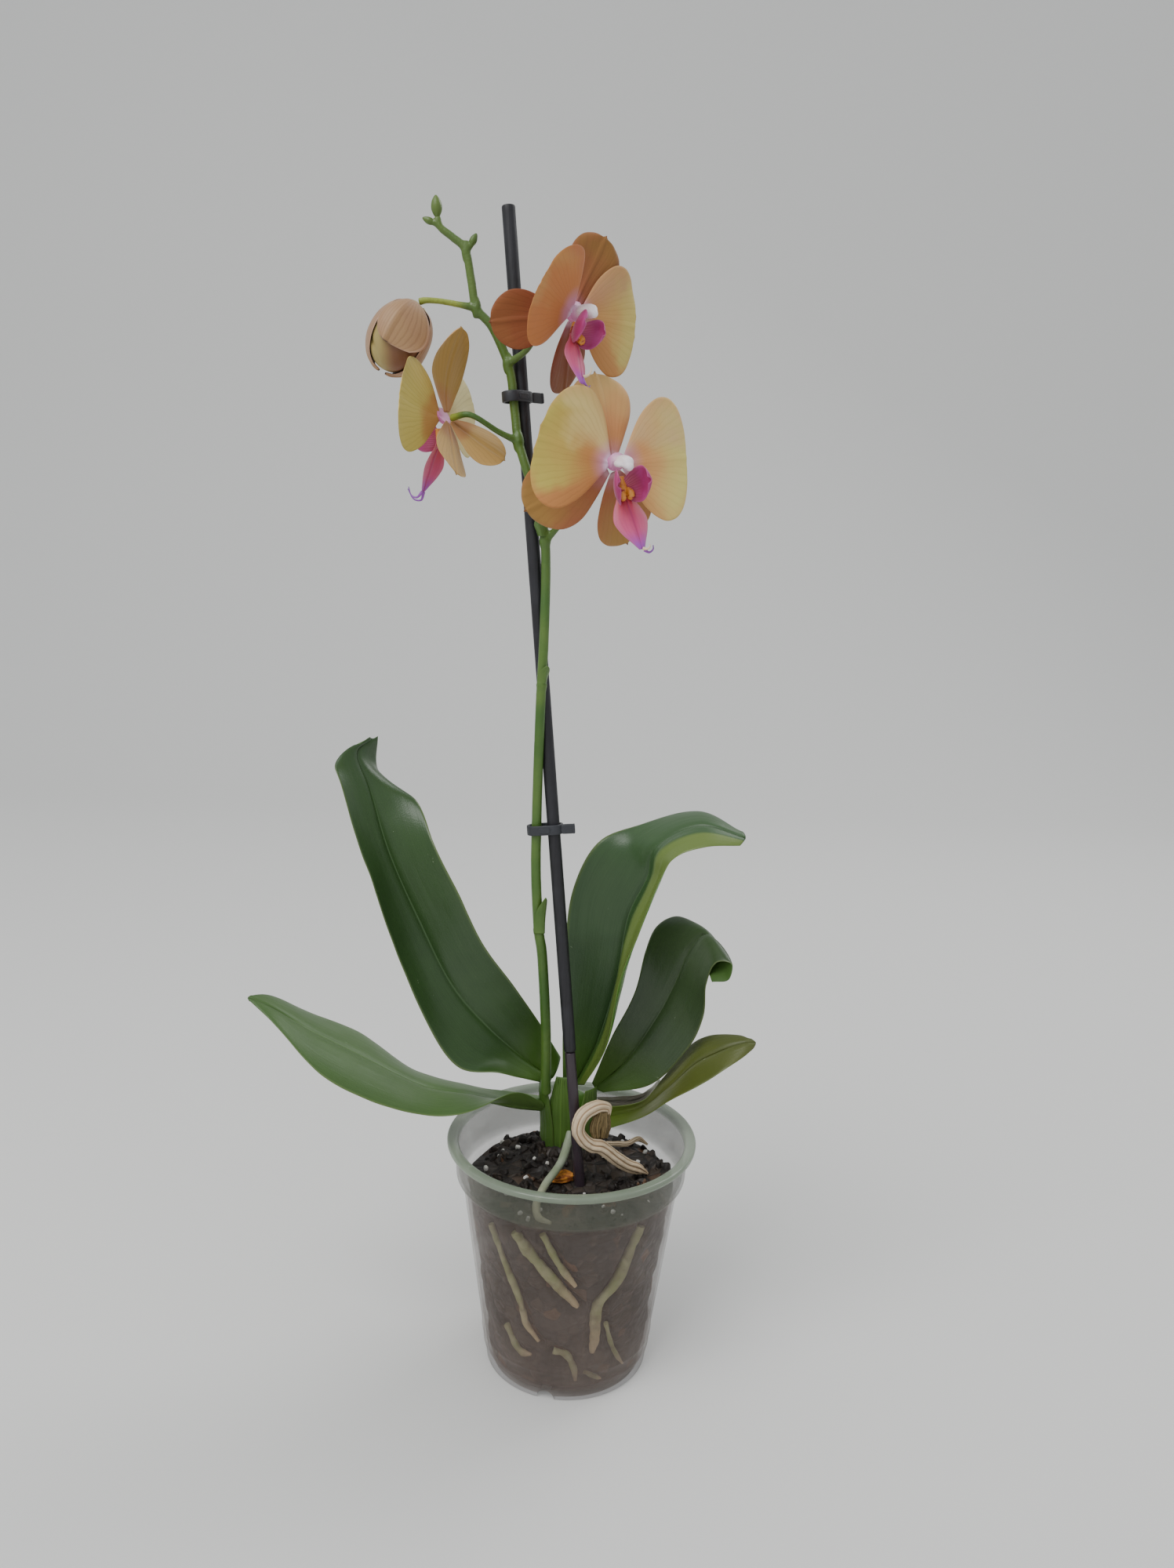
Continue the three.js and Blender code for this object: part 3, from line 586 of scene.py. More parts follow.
# %% Clear plastic
plastic, w, sockets = finish("clear_plastic", IOR=1.46, Specular_IOR_Level=0.6)
where = w.place()
height = w.add("SeparateXYZ", {0: where}, output="Z")
collar = w.spread(height, 0.0935, 0.0965)
lip = w.spread(height, 0.1105, 0.1125)
mist = w.group(BLOTCHES, {"Vector": where, "Scale": 34.0, "Cover": 0.5, "Softness": 0.3})
scuffs = w.group(BLOTCHES, {"Vector": w.add("Mapping", {"Vector": where, "Scale": (1, 1, 0.35)}),
                            "Scale": 190.0, "Cover": 0.3, "Softness": 0.14})
tint = w.mix(collar, linear("#786961"), linear("#4e5445"))
tint = w.mix(w.math("MULTIPLY", mist, 0.35), tint, linear("#94857b"))
tint = w.mix(lip, tint, linear("#86927e"))
low = w.spread(height, 0.045, 0.0, 0.0, 0.10)
veil = w.math("ADD", w.math("ADD", 0.15, low), w.math("MULTIPLY", mist, 0.12))
veil = w.math("ADD", veil, w.math("MULTIPLY", scuffs, 0.06))
veil = w.math("ADD", veil, w.math("MULTIPLY", collar, 0.25))
veil = w.math("ADD", veil, w.math("MULTIPLY", lip, 0.3))
glance = w.add("LayerWeight", {"Blend": 0.25}, output="Facing")
alpha = w.math("ADD", veil, w.math("MULTIPLY", w.math("POWER", glance, 3.0), 0.45))
rough = w.math("ADD", 0.16, w.math("MULTIPLY", scuffs, 0.22))
ripple = w.bump(w.noise(where, 55.0, 2.0), 0.12, 0.002)
feed(w, sockets, Base_Color=tint, Alpha=alpha, Roughness=rough, Normal=ripple)
place(pot, "pot", "clear_plastic", plastic)
print("pot is see-through")

# %% [markdown]
# ## Roots against the wall
# Thick aerial roots press against the inside of the wall and run down and round it. Each one is a stem along
# a path that hugs the wall: a heading round the pot and a height are all that each point needs.

# %% Root paths
WALL_ROOTS = {
    "left_slim": (1.5, [(221, 85), (229, 70), (238, 54), (242, 43), (244, 37), (252, 30)]),
    "broad_green": (2.4, [(239, 87), (244, 81), (252, 74), (265, 62), (277, 51)]),
    "middle_slim": (1.6, [(256, 90), (265, 75), (275, 63)]),
    "right_broad": (2.4, [(314, 88), (309, 77), (301, 61), (290, 50), (290, 31), (289, 24)]),
    "right_slim": (1.1, [(296, 40), (304, 24), (316, 11)]),
    "front_hook": (1.6, [(262, 26), (271, 24), (276, 17), (278, 9)]),
    "front_low": (1.1, [(284, 14), (290, 11), (297, 8)]),
    "left_low": (1.5, [(226, 32), (236, 21), (246, 21)]),
}


def by_the_wall(route, inset):
    """Points at headings and heights, `inset` mm inside the wall."""
    return [((wall_inside(z) - inset) * math.cos(math.radians(a)),
             (wall_inside(z) - inset) * math.sin(math.radians(a)), z) for a, z in route]


root_skin, w, sockets = finish("root_skin", Roughness=0.6)
where = w.place()
patches = w.group(BLOTCHES, {"Vector": where, "Scale": 120.0, "Cover": 0.5, "Softness": 0.25})
ends = w.fact("along")
green = w.mix(patches, linear("#b2b086"), linear("#8d9458"))
pale = w.mix(w.spread(ends, 0.55, 1.0), green, linear("#cdb48a"))
stains = w.group(BLOTCHES, {"Vector": where, "Scale": 150.0, "Cover": 0.4, "Softness": 0.16})
colour = w.mix(w.math("MULTIPLY", stains, 0.6), pale, linear("#6e5a3c"))
feed(w, sockets, Base_Color=colour,
     Normal=w.bump(w.group(GRAIN, {"Vector": where, "Scale": 1100.0}), 0.5, 0.0006))

for name, (radius, route) in WALL_ROOTS.items():
    line = by_the_wall(route, 0.85 + radius)
    widths = [radius * k for k in (1, 0.82, 1.12, 0.86, 1.1, 0.9, 0.5)]
    root = stem(f"{name}_root", [(line, widths, 60)], root_skin, 24, radius * 0.85, 3.6)
    place(root, f"{name}_wall_root", "fresh_root", None)
print(len(WALL_ROOTS), "roots against the wall")

# %% [markdown]
# ## Bark mix
# The pot is packed with chunks of dark wet bark and a few white beads. Most of it is one lumpy block, pushed
# in where a root runs along the wall, and Geometry Nodes scatter loose chunks and beads over its top.

# %% Lumpy block
def bark_outline():
    """Outline of the block: its bottom, its side just inside the wall, and its top."""
    side = [(wall_inside(z) - 0.6, z) for z in np.linspace(6, 90.5, 58)]
    top = [(r, 92.6) for r in np.linspace(49.6, 3, 26)]
    return [(0, 4.6), (12, 4.6), (26, 4.6), (wall_inside(5) - 1.5, 4.8), *side, (50.6, 92.2), *top, (0, 92.6)]


def around_roots(points):
    """How far each point must sink to leave room for the roots, in mm."""
    sink = np.zeros(len(points))
    for radius, route in WALL_ROOTS.values():
        line = smooth_path(by_the_wall(route, 0.85 + radius), np.linspace(0, 1, 60))
        near = np.min(np.linalg.norm(points[:, None] - line[None], axis=2), axis=1)
        reach = radius * 2.1 + 1.2
        sink = np.maximum(sink, np.clip(1 - (near / reach) ** 2, 0, 1) * (2 * radius + 1.4))
    return sink


def mound(x, y):
    """How far the mix is heaped up round the foot of the plant, in mm."""
    return 13.5 * np.exp(-((x + 2) / 22) ** 2 - ((y - 20) / 15) ** 2)


bark = spun("bark_mix", bark_outline(), 240)
points = points_of(bark)
chunky = 0.5 + 0.5 * lumps(points * (1, 1, 1.5), 8.5, 3)
chunky = np.round(chunky * 3.2) / 3.2 * 0.7 + chunky * 0.3
fine = lumps(points, 5.0, 5)
out = np.hypot(points[:, 0], points[:, 1])
side = np.clip((out - 30) / 12, 0, 1) * np.clip((94 - points[:, 2]) / 3, 0, 1)
sink = (chunky * 2.0 + 0.35 * (1 + fine)) * side + around_roots(points) * side
scale = 1 - sink / np.maximum(out, 1)
points[:, 0] *= scale
points[:, 1] *= scale
on_top = np.clip((points[:, 2] - 90) / 2, 0, 1) * np.clip((53.5 - out) / 3, 0, 1)
points[:, 2] += on_top * (1.3 * lumps(points, 9, 8) + 0.9 * fine - 0.4 + mound(points[:, 0], points[:, 1]))
set_points(bark, points)
bark.data.update()
print("bark block has", len(points), "points")

# %% [markdown]
# Wet bark is nearly black, with brown and rusty chunks showing here and there. A cell pattern gives each
# chunk its own tone, and near-black lines between the cells are painted shade in the gaps of the mix.

# %% Bark finish
bark_paint, w, sockets = finish("wet_bark")
where = w.place()
shade = w.add("TexVoronoi", {"Vector": where, "Scale": 165.0, "Randomness": 1.0}, output="Color")
shade = w.add("SeparateXYZ", {0: shade}, output="X")
shaded_gap = w.add("TexVoronoi", {"Vector": where, "Scale": 165.0}, output="Distance", feature="DISTANCE_TO_EDGE")
fibre = w.noise(w.add("Mapping", {"Vector": where, "Scale": (1, 1, 2.5)}), 190.0, 4.0)
tone = w.mix(w.spread(shade, 0.35, 0.85), linear("#2b2420"), linear("#43372d"))
tone = w.mix(w.spread(shade, 0.93, 0.99), tone, linear("#6b4a30"))
tone = w.mix(w.math("MULTIPLY", fibre, 0.3), tone, linear("#14100d"))
# Painted shade: the gaps between the chunks are painted near-black.
tone = w.mix(w.spread(shaded_gap, 0.07, 0.0, 0.0, 0.8), tone, linear("#0c0a08"))
height = w.math("ADD", w.spread(shaded_gap, 0.0, 0.25), w.math("MULTIPLY", fibre, 0.5))
feed(w, sockets, Base_Color=tone, Roughness=w.spread(fibre, 0.3, 0.75, 0.45, 0.85),
     Normal=w.bump(height, 0.4, 0.0012))
place(bark, "growing_medium", "bark_mix", bark_paint)
print("bark painted")

# %% [markdown]
# Scattering is work for Geometry Nodes: points are spread over a surface, and each gets a copy of one chunk
# with its own turn and size. The same tree lays the bark, the white beads and the crumbs.

# %% Geometry Nodes: scatter
def scatter_tree():
    """Spreads turned and resized copies of one object over the faces of another."""
    tree, given, result = node_tree("scatter_pieces", [
        ("Chunk", "Object", None), ("Density", "Float", 20000.0), ("Smallest", "Float", 0.6),
        ("Largest", "Float", 1.4), ("Seed", "Int", 1), ("Material", "Material", None)])
    spread = wire(tree, "GeometryNodeDistributePointsOnFaces",
                  {"Mesh": given.outputs["Geometry"], "Density": given.outputs["Density"],
                   "Seed": given.outputs["Seed"]})
    chunk = wire(tree, "GeometryNodeObjectInfo", {"Object": given.outputs["Chunk"]})
    turn = wire(tree, "FunctionNodeRandomValue", {"Min": (0.0, 0.0, 0.0), "Max": (6.28, 6.28, 6.28),
                                                  "Seed": given.outputs["Seed"]}, data_type="FLOAT_VECTOR")
    size = tree.nodes.new("FunctionNodeRandomValue")
    floats = [s for s in size.inputs if s.type == "VALUE" and s.enabled]
    tree.links.new(given.outputs["Smallest"], floats[0])
    tree.links.new(given.outputs["Largest"], floats[1])
    tree.links.new(given.outputs["Seed"], size.inputs["Seed"])
    chosen = [s for s in size.outputs if s.type == "VALUE" and s.enabled][0]
    laid = wire(tree, "GeometryNodeInstanceOnPoints",
                {"Points": spread.outputs["Points"], "Instance": chunk.outputs["Geometry"],
                 "Rotation": turn.outputs[0], "Scale": chosen})
    real = wire(tree, "GeometryNodeRealizeInstances", {"Geometry": laid.outputs[0]})
    painted = wire(tree, "GeometryNodeSetMaterial",
                   {"Geometry": real.outputs[0], "Material": given.outputs["Material"]})
    tree.links.new(painted.outputs[0], result.inputs[0])
    return tree


SCATTER_TREE = scatter_tree()


def chunk_shape(name, size, seed, rough):
    """One small lumpy stone, size (x, y, z) in mm, with few faces."""
    bpy.ops.mesh.primitive_ico_sphere_add(subdivisions=2, radius=1)
    chunk = bpy.context.object
    chunk.name = name
    points = np.array([v.co for v in chunk.data.vertices])
    points *= (1 + rough * lumps(points, 0.7, seed))[:, None]
    points = np.sign(points) * np.abs(points) ** 0.75
    chunk.data.vertices.foreach_set("co", (points * size * MM).ravel())
    chunk.hide_render = True
    return chunk


def scattered(name, surface, chunk, density, sizes, seed, material):
    """Chunks scattered over a copy of a surface, as one plain mesh."""
    piece = bpy.data.objects.new(name, surface)
    bpy.context.scene.collection.objects.link(piece)
    use_tree(piece, SCATTER_TREE, {"Chunk": chunk, "Density": density, "Smallest": sizes[0],
                                   "Largest": sizes[1], "Seed": seed, "Material": material})
    settled(piece)
    bpy.data.objects.remove(chunk)
    return piece


def disc(radius, height, hole=0.0):
    """A ring of small faces to scatter over, in metres."""
    angle = np.linspace(0, 2 * math.pi, 48, endpoint=False)
    reach = np.linspace(hole, radius, 13)
    rings = [(r * np.cos(a), r * np.sin(a), height + mound(r * np.cos(a), r * np.sin(a)))
             for r in reach for a in angle]
    mesh = bpy.data.meshes.new("bed")
    mesh.from_pydata((np.array(rings) * MM).tolist(), [],
                     [(48 * k + i, 48 * k + 48 + i, 48 * k + 48 + (i + 1) % 48, 48 * k + (i + 1) % 48)
                      for k in range(12) for i in range(48)])
    return mesh


chunks = scattered("loose_bark", disc(48.5, 91.3, 4), chunk_shape("chip", (3.9, 2.6, 1.4), 4, 0.35),
                   42000.0, (0.4, 1.1), 11, bark_paint)
place(chunks, "growing_medium", "bark_mix", None)

bead_paint, w, sockets = finish("perlite", Roughness=0.8)
feed(w, sockets, Base_Color=w.mix(w.noise(w.place(), 900.0, 3.0), linear("#b9b4ab"), linear("#efece6")))
beads = scattered("white_beads", disc(47.5, 93.4, 6), chunk_shape("bead", (1.1, 0.9, 0.8), 9, 0.3),
                  3800.0, (0.5, 1.3), 5, bead_paint)
place(beads, "growing_medium", "dry_root", None)
print("loose bark:", len(chunks.data.polygons), "faces, beads:", len(beads.data.polygons))

# %% [markdown]
# ## Stake and clips
# The stake is a thin rod in a dull black sleeve, and its bare foot is slimmer and glossier. Both follow a
# straight path, so the stem tree makes them too. Two clips hold the spike: each is a band bent round both,
# with a tail.

# %% Stake
STAKE_FOOT, STAKE_TOP = np.array([4.6, -8.4, 93]), np.array([-38.2, 4, 534.7])
SLEEVE_FROM, SLEEVE_RADIUS = 160.4, 2.9
BARE_FROM, BARE_TO, BARE_RADIUS = 23.5, 160, 2.5


def stake_at(z):
    """The stake's centre at a height, in mm."""
    return STAKE_FOOT + (STAKE_TOP - STAKE_FOOT) * (z - STAKE_FOOT[2]) / (STAKE_TOP[2] - STAKE_FOOT[2])


sleeve_paint, w, sockets = finish("stake_sleeve")
where = w.place()
streaks = w.noise(w.add("Mapping", {"Vector": where, "Scale": (1, 1, 0.04)}), 900.0, 3.0)
dust = w.group(BLOTCHES, {"Vector": where, "Scale": 90.0, "Cover": 0.4, "Softness": 0.3})
tone = w.mix(w.math("MULTIPLY", dust, 0.6), linear("#17161a"), linear("#302f36"))
feed(w, sockets, Base_Color=tone, Roughness=w.spread(streaks, 0.3, 0.7, 0.42, 0.62),
     Normal=w.bump(streaks, 0.35, 0.0006))
foot_paint, w, sockets = finish("stake_foot", Roughness=0.32)
feed(w, sockets, Base_Color=w.mix(w.noise(w.place(), 60.0, 3.0), linear("#241c22"), linear("#43363e")))


def rod_path(low, high, radius, rounding):
    """A straight path whose ends are rounded off."""
    ends = np.array([0.0, 0.25, 0.6, 1.0]) * rounding
    heights = np.concatenate([low + ends, np.linspace(low + 3, high - 3, 8), (high - ends)[::-1]])
    line = [stake_at(z) for z in heights]
    curve = radius - rounding * (1 - np.sqrt([0.0, 0.44, 0.84, 1.0]))
    return line, [*curve, *[radius] * 8, *curve[::-1]]


def rod(name, low, high, radius, material, lump):
    """A rod along the stake's line, with its ends rounded."""
    line, widths = rod_path(low, high, radius, 0.7)
    edges = [(k, k + 1) for k in range(len(line) - 1)]
    piece = plain_lines(name, (np.array(line) * MM).tolist(), edges, np.array(widths) * MM)
    use_tree(piece, STEM_TREE, {"Sides": 40, "Lump Height": lump * MM, "Lump Size": 6.0, "Ridges": 0.0,
                                "Material": material})
    return settled(piece)


sleeve = rod("stake_sleeve", SLEEVE_FROM, STAKE_TOP[2], SLEEVE_RADIUS, sleeve_paint, 0.06)
place(sleeve, "stake", "stake_sleeve", None)
bare_foot = rod("stake_bare_foot", BARE_FROM, BARE_TO, BARE_RADIUS, foot_paint, 0.05)
place(bare_foot, "stake_foot", "stake_rod", None)
lean = STAKE_TOP - STAKE_FOOT
print("stake leans", round(math.degrees(math.atan2(-lean[0], lean[2])), 1), "degrees to the left")

# %% Clips
CLIP_OUTER, CLIP_INNER, CLIP_HEIGHT = 4.45, 3.25, 4.5


def clip_outline(radius, reach, steps=18):
    """A closed slot with round ends from the stake's centre to -reach, as (x, y) points."""
    near = [(radius * math.cos(a), radius * math.sin(a))
            for a in np.linspace(-math.pi / 2, math.pi / 2, steps)]
    far = [(-reach + radius * math.cos(a), radius * math.sin(a))
           for a in np.linspace(math.pi / 2, 1.5 * math.pi, steps)]
    return near + far


def band(outer, inner, height, rounding=0.35):
    """A band between two outlines, with rounded edges: points and faces."""
    outer, inner = np.array(outer), np.array(inner)
    count = len(outer)
    inward = (inner - outer) / np.linalg.norm(inner - outer, axis=1, keepdims=True)
    half, r = height / 2, rounding
    section = [(outer, 0, -half + r), (outer, 0.3 * r, -half + 0.3 * r), (outer, r, -half),
               (inner, -r, -half), (inner, -0.3 * r, -half + 0.3 * r), (inner, 0, -half + r),
               (inner, 0, half - r),
               (inner, -0.3 * r, half - 0.3 * r), (inner, -r, half), (outer, r, half),
               (outer, 0.3 * r, half - 0.3 * r), (outer, 0, half - r)]
    loops = [np.column_stack([line + inward * move, np.full(count, z)]) for line, move, z in section]
    points = np.vstack(loops)
    faces = [(a * count + i, b * count + i, b * count + (i + 1) % count, a * count + (i + 1) % count)
             for a, b in zip(range(12), [*range(1, 12), 0]) for i in range(count)]
    return points, faces


def slab(low, high, rounding=0.35):
    """A small box with rounded edges: points and faces of a superellipsoid."""
    rows, wide = 15, 32
    turns = np.linspace(0, 2 * math.pi, wide, endpoint=False)
    u, v = np.meshgrid(turns, np.linspace(-math.pi / 2, math.pi / 2, rows + 2)[1:-1])

    def power(value):
        return np.sign(value) * np.abs(value) ** rounding
    shape = np.stack([power(np.cos(v)) * power(np.cos(u)), power(np.cos(v)) * power(np.sin(u)),
                      power(np.sin(v))], -1)
    centre, half = (np.array(high) + low) / 2, (np.array(high) - low) / 2
    points = np.vstack([shape.reshape(-1, 3) * half + centre,
                        [centre - (0, 0, half[2])], [centre + (0, 0, half[2])]])
    faces = [(j * wide + i, j * wide + (i + 1) % wide, (j + 1) * wide + (i + 1) % wide, (j + 1) * wide + i)
             for j in range(rows - 1) for i in range(wide)]
    bottom, top = rows * wide, rows * wide + 1
    faces += [(bottom, (i + 1) % wide, i) for i in range(wide)]
    faces += [(top, (rows - 1) * wide + i, (rows - 1) * wide + (i + 1) % wide) for i in range(wide)]
    return points, faces


clip_paint, w, sockets = finish("clip_plastic", Roughness=0.5)
where = w.place()
tone = w.mix(w.noise(where, 120.0, 3.0), linear("#26272b"), linear("#37393f"))
feed(w, sockets, Base_Color=tone, Normal=w.bump(w.noise(where, 1500.0, 2.0), 0.2, 0.0003))


def clip(name, node, z, spike_centre):
    """A clip square to the stake, round the stake and the spike, with its tail and a thumb ridge."""
    centre, spike = stake_at(z), np.array(spike_centre)
    up = Vector(STAKE_TOP - STAKE_FOOT).normalized()
    outward = Vector(centre - spike)
    outward = (outward - up * outward.dot(up)).normalized()
    reach = float(np.linalg.norm(centre - spike))
    shapes = [band(clip_outline(CLIP_OUTER, reach), clip_outline(CLIP_INNER, reach), CLIP_HEIGHT),
              slab((3.5, -3.0, -2.25), (9.95, -1.4, 2.25)), slab((8.9, -3.3, -2.25), (9.95, -1.1, 2.25)),
              slab((-reach / 2 - 2.6, -4.9, -1.2), (-reach / 2 + 2.6, -4.2, 1.2))]
    points, faces = [], []
    for more, sides in shapes:
        faces += [tuple(k + sum(map(len, points)) for k in side) for side in sides]
        points.append(more)
    turn = np.array([outward, up.cross(outward), up])
    piece = new_piece(name, np.vstack(points) @ turn + centre, faces)
    return place(piece, node, "clip_plastic", clip_paint)


clip("upper_clip_band", "upper_clip", 456.5, (-34.8, -2.4, 456.5))
clip("lower_clip_band", "lower_clip", 267, (-20.2, -3, 267))
print("two clips on the stake")

# %% [markdown]
# ## Flower spike
# The spike is one growth: a stem that thins upwards, swollen joints, and a stalk to each flower and bud. The
# stem tree sweeps all the parts, and a voxel remesh then melts them into one skin with soft forks, as sap
# wood grows. The stake and the light pull it into long bends.

# %% Stems that fork
def grown_stem(name, paths, material, voxel=0.5, lump=0.15):
    """Stems along paths, melted together into one skin."""
    piece = path_lines(name, paths)
    use_tree(piece, STEM_TREE, {"Sides": 20, "Lump Height": lump * MM, "Lump Size": 6.0, "Ridges": 0.0,
                                "Material": material})
    melt = piece.modifiers.new("melt", "REMESH")
    melt.mode, melt.voxel_size, melt.use_smooth_shade = "VOXEL", voxel * MM, True
    soften = piece.modifiers.new("soften", "SMOOTH")
    soften.factor, soften.iterations = 0.5, 5
    return settled(piece)


def swelling(point, radius, along=(0, 0, 1), half=4.2):
    """A short fat stem that makes a joint swell."""
    point, along = np.array(point, float), np.array(along, float)
    ends = [point + along * half * share for share in (-1, -0.5, 0, 0.5, 1)]
    return ends, [radius * k for k in (0.55, 0.86, 1.0, 0.86, 0.5)], 10


def turned_flower(shape):
    """The matrix that puts a flower's own frame (x right, y up, z out of its face) in place, in mm."""
    turn = Matrix.Rotation(math.radians(shape["turn"]), 4, "Z")
    tip = Matrix.Rotation(math.radians(90 + shape["nod"]), 4, "X")
    return Matrix.Translation(shape["at"]) @ turn @ tip @ Matrix.Scale(shape["size"], 4)


FLOWERS = {
    "upper": {"at": (-8.6, -25, 486), "size": 0.87, "turn": 50, "nod": 3},
    "lower": {"at": (10.4, -30, 426.8), "size": 1, "turn": 25, "nod": 4},
    "left": {"at": (-63.5, -8, 445.6), "size": 0.87, "turn": -118, "nod": 5},
}


def behind(name, distance):
    """A point behind a flower, on its axis."""
    shape = FLOWERS[name]
    return tuple(turned_flower(shape) @ Vector((0, 0, -distance / shape["size"])))


SPIKE = [
    (-13.3, 11, 130.5), (-13.6, 10.3, 137), (-14, 8, 164), (-16.3, 0, 204), (-18.2, -2, 218), (-20, -3, 245),
    (-20.2, -3, 268), (-20.1, -4, 288), (-19.4, -7.5, 326), (-18.6, -7, 352), (-18.6, -3, 384),
    (-20, -3.5, 401), (-25.7, -7, 420), (-31.4, -5, 437), (-33.5, -3, 450), (-36.2, -2, 468),
    (-43.5, -2, 484), (-50.5, -2, 492), (-53, -2, 503.5), (-55.5, -2, 515),
    (-60.8, -2, 519.8), (-66, -2, 523.6), (-67.4, -2, 527.8),
]
SPIKE_WIDTHS = [2.6, 2.5, 2.4, 2.3, 2.2, 2.1, 2.0, 1.95, 1.85, 1.7, 1.4]
JOINTS = [((-18.2, -2, 218), 2.7), ((-19.1, -7.9, 333), 2.5), ((-19.2, -3, 396), 2.7),
          ((-31.6, -5, 437.5), 2.6),
          ((-36.9, -2, 470), 2.4), ((-50.6, -2, 492), 2.2), ((-55.3, -2, 514.6), 2.0)]
STALK = [1.75, 1.35, 1.25, 1.3, 1.6]
stalks = [
    ([(-36.6, -2, 470), (-28, -7, 475.5), behind("upper", 15), behind("upper", 4)], STALK, 30),
    ([(-19, -3, 396), (-13, -5, 403), (-4, -9, 414), behind("lower", 12), behind("lower", 4)], STALK, 30),
    ([(-31.5, -5, 437.5), (-40, -9, 441), behind("left", 14), behind("left", 4)], STALK, 30),
    ([(-50.5, -2, 492), (-58, -3, 493), (-65, -4, 493.8), (-71, -5, 493.9), (-74.6, -5.3, 493.2)], STALK, 24),
    ([(-55.5, -2, 515), (-54, -2, 516.2), (-52.8, -2, 517.8)], [1.6, 1.4, 1.3], 8),
    ([(-66, -2, 523.6), (-67.8, -2, 525), (-69.8, -2, 525.7)], [1.5, 1.3, 1.3], 8),
]

green_stem, w, sockets = finish("green_stem", Roughness=0.42)
where = w.place()
height = w.add("SeparateXYZ", {0: where}, output="Z")
streak = w.noise(w.add("Mapping", {"Vector": where, "Scale": (1, 1, 0.06)}), 700.0, 3.0)
fresh = w.spread(height, 0.40, 0.53)
sunny = w.group(BLOTCHES, {"Vector": where, "Scale": 45.0, "Cover": 0.45, "Softness": 0.3})
tone = w.mix(fresh, linear("#3d6420"), linear("#4c6626"))
side = w.add("SeparateXYZ", {0: where}, output="X")
stalk = w.math("MULTIPLY", w.spread(side, -0.054, -0.06), w.spread(height, 0.505, 0.498))
tone = w.mix(stalk, tone, linear("#9da83e"))
tone = w.mix(w.math("MULTIPLY", streak, 0.4), tone, linear("#304e18"))
tone = w.mix(w.math("MULTIPLY", sunny, 0.3), tone, linear("#8a9c4a"))
feed(w, sockets, Base_Color=tone, Roughness=w.spread(streak, 0.3, 0.7, 0.34, 0.52),
     Normal=w.bump(w.math("ADD", streak, w.noise(where, 1200.0, 2.0)), 0.25, 0.0005))

spike = grown_stem("flower_spike_skin", [(SPIKE, SPIKE_WIDTHS, 260), *stalks,
                                         *(swelling(p, r) for p, r in JOINTS)], green_stem)
place(spike, "flower_spike", "stem", None)
print("spike has", len(spike.data.polygons), "faces")

# %% [markdown]
# Small scales hug the spike above its joints. Each is a short sheet bent round the stem, wide at the foot and
# pointed at the tip, which stands a little away.

# %% Scales on the spike
def scale_rails(centre, lean, azimuth, height, radius):
    """The three rails of a scale that hugs a stem."""
    def rail(side):
        points = []
        for s, spread in ((0, 95), (0.3, 88), (0.65, 58), (0.88, 26), (1, 3)):
            angle = math.radians(azimuth + side * spread)
            reach = radius - 0.3 + 0.5 * s + 1.2 * s * s
            points.append((centre[0] + lean * s + reach * math.cos(angle), centre[1] + reach * math.sin(angle),
                           centre[2] + height * s))
        return points
    return [rail(-1), rail(0), rail(1)]


for name, centre, lean, azimuth, height, radius in (
        ("lower_bract", (-18.4, -2.1, 217), -0.8, -35, 17.5, 3.5),
        ("middle_bract", (-19, -7.8, 334), 0.3, -60, 8, 2.5),
        ("upper_bract", (-20.2, -3.6, 398), -1.5, -100, 7, 2.6)):
    scale = sheet(f"{name}_scale", scale_rails(centre, lean, azimuth, height, radius), 0.6, 40, 24, 0,
                  relief=lambda u, t, grid: 0.25 * np.exp(-(u / 0.12) ** 2))
    place(scale, name, "stem", green_stem)
print("three scales")


# %% Unopened buds
def grain(name, node, foot, tip, radius):
    """A small closed bud from its foot to its tip."""
    foot, tip = np.array(foot, float), np.array(tip, float)
    line = [foot, foot + (tip - foot) * 0.33, foot + (tip - foot) * 0.66, tip]
    widths = radius * np.sin(np.linspace(0.22, math.pi - 0.12, 15)) ** 0.75
    place(stem(name, [(line, widths, 28)], green_stem, 24, 0.3, 2.5), node, "stem", None)


grain("tip_bud_grain", "tip_bud", (-67.4, -2, 527.4), (-68.1, -2, 536.2), 2.35)
grain("right_side_bud_grain", "right_side_bud", (-53.6, -2, 516.2), (-50.9, -2, 521.6), 1.6)
grain("left_side_bud_grain", "left_side_bud", (-68.2, -2, 525.0), (-73.6, -2, 527.2), 1.5)
print("three small buds")

# %% [markdown]
# ## Leaves
# Moth orchid leaves are thick straps, folded along a groove down the middle. The outline and the bend of
# each come from its three rails. The relief adds the groove, a slow swell and faint lengthwise ribs.

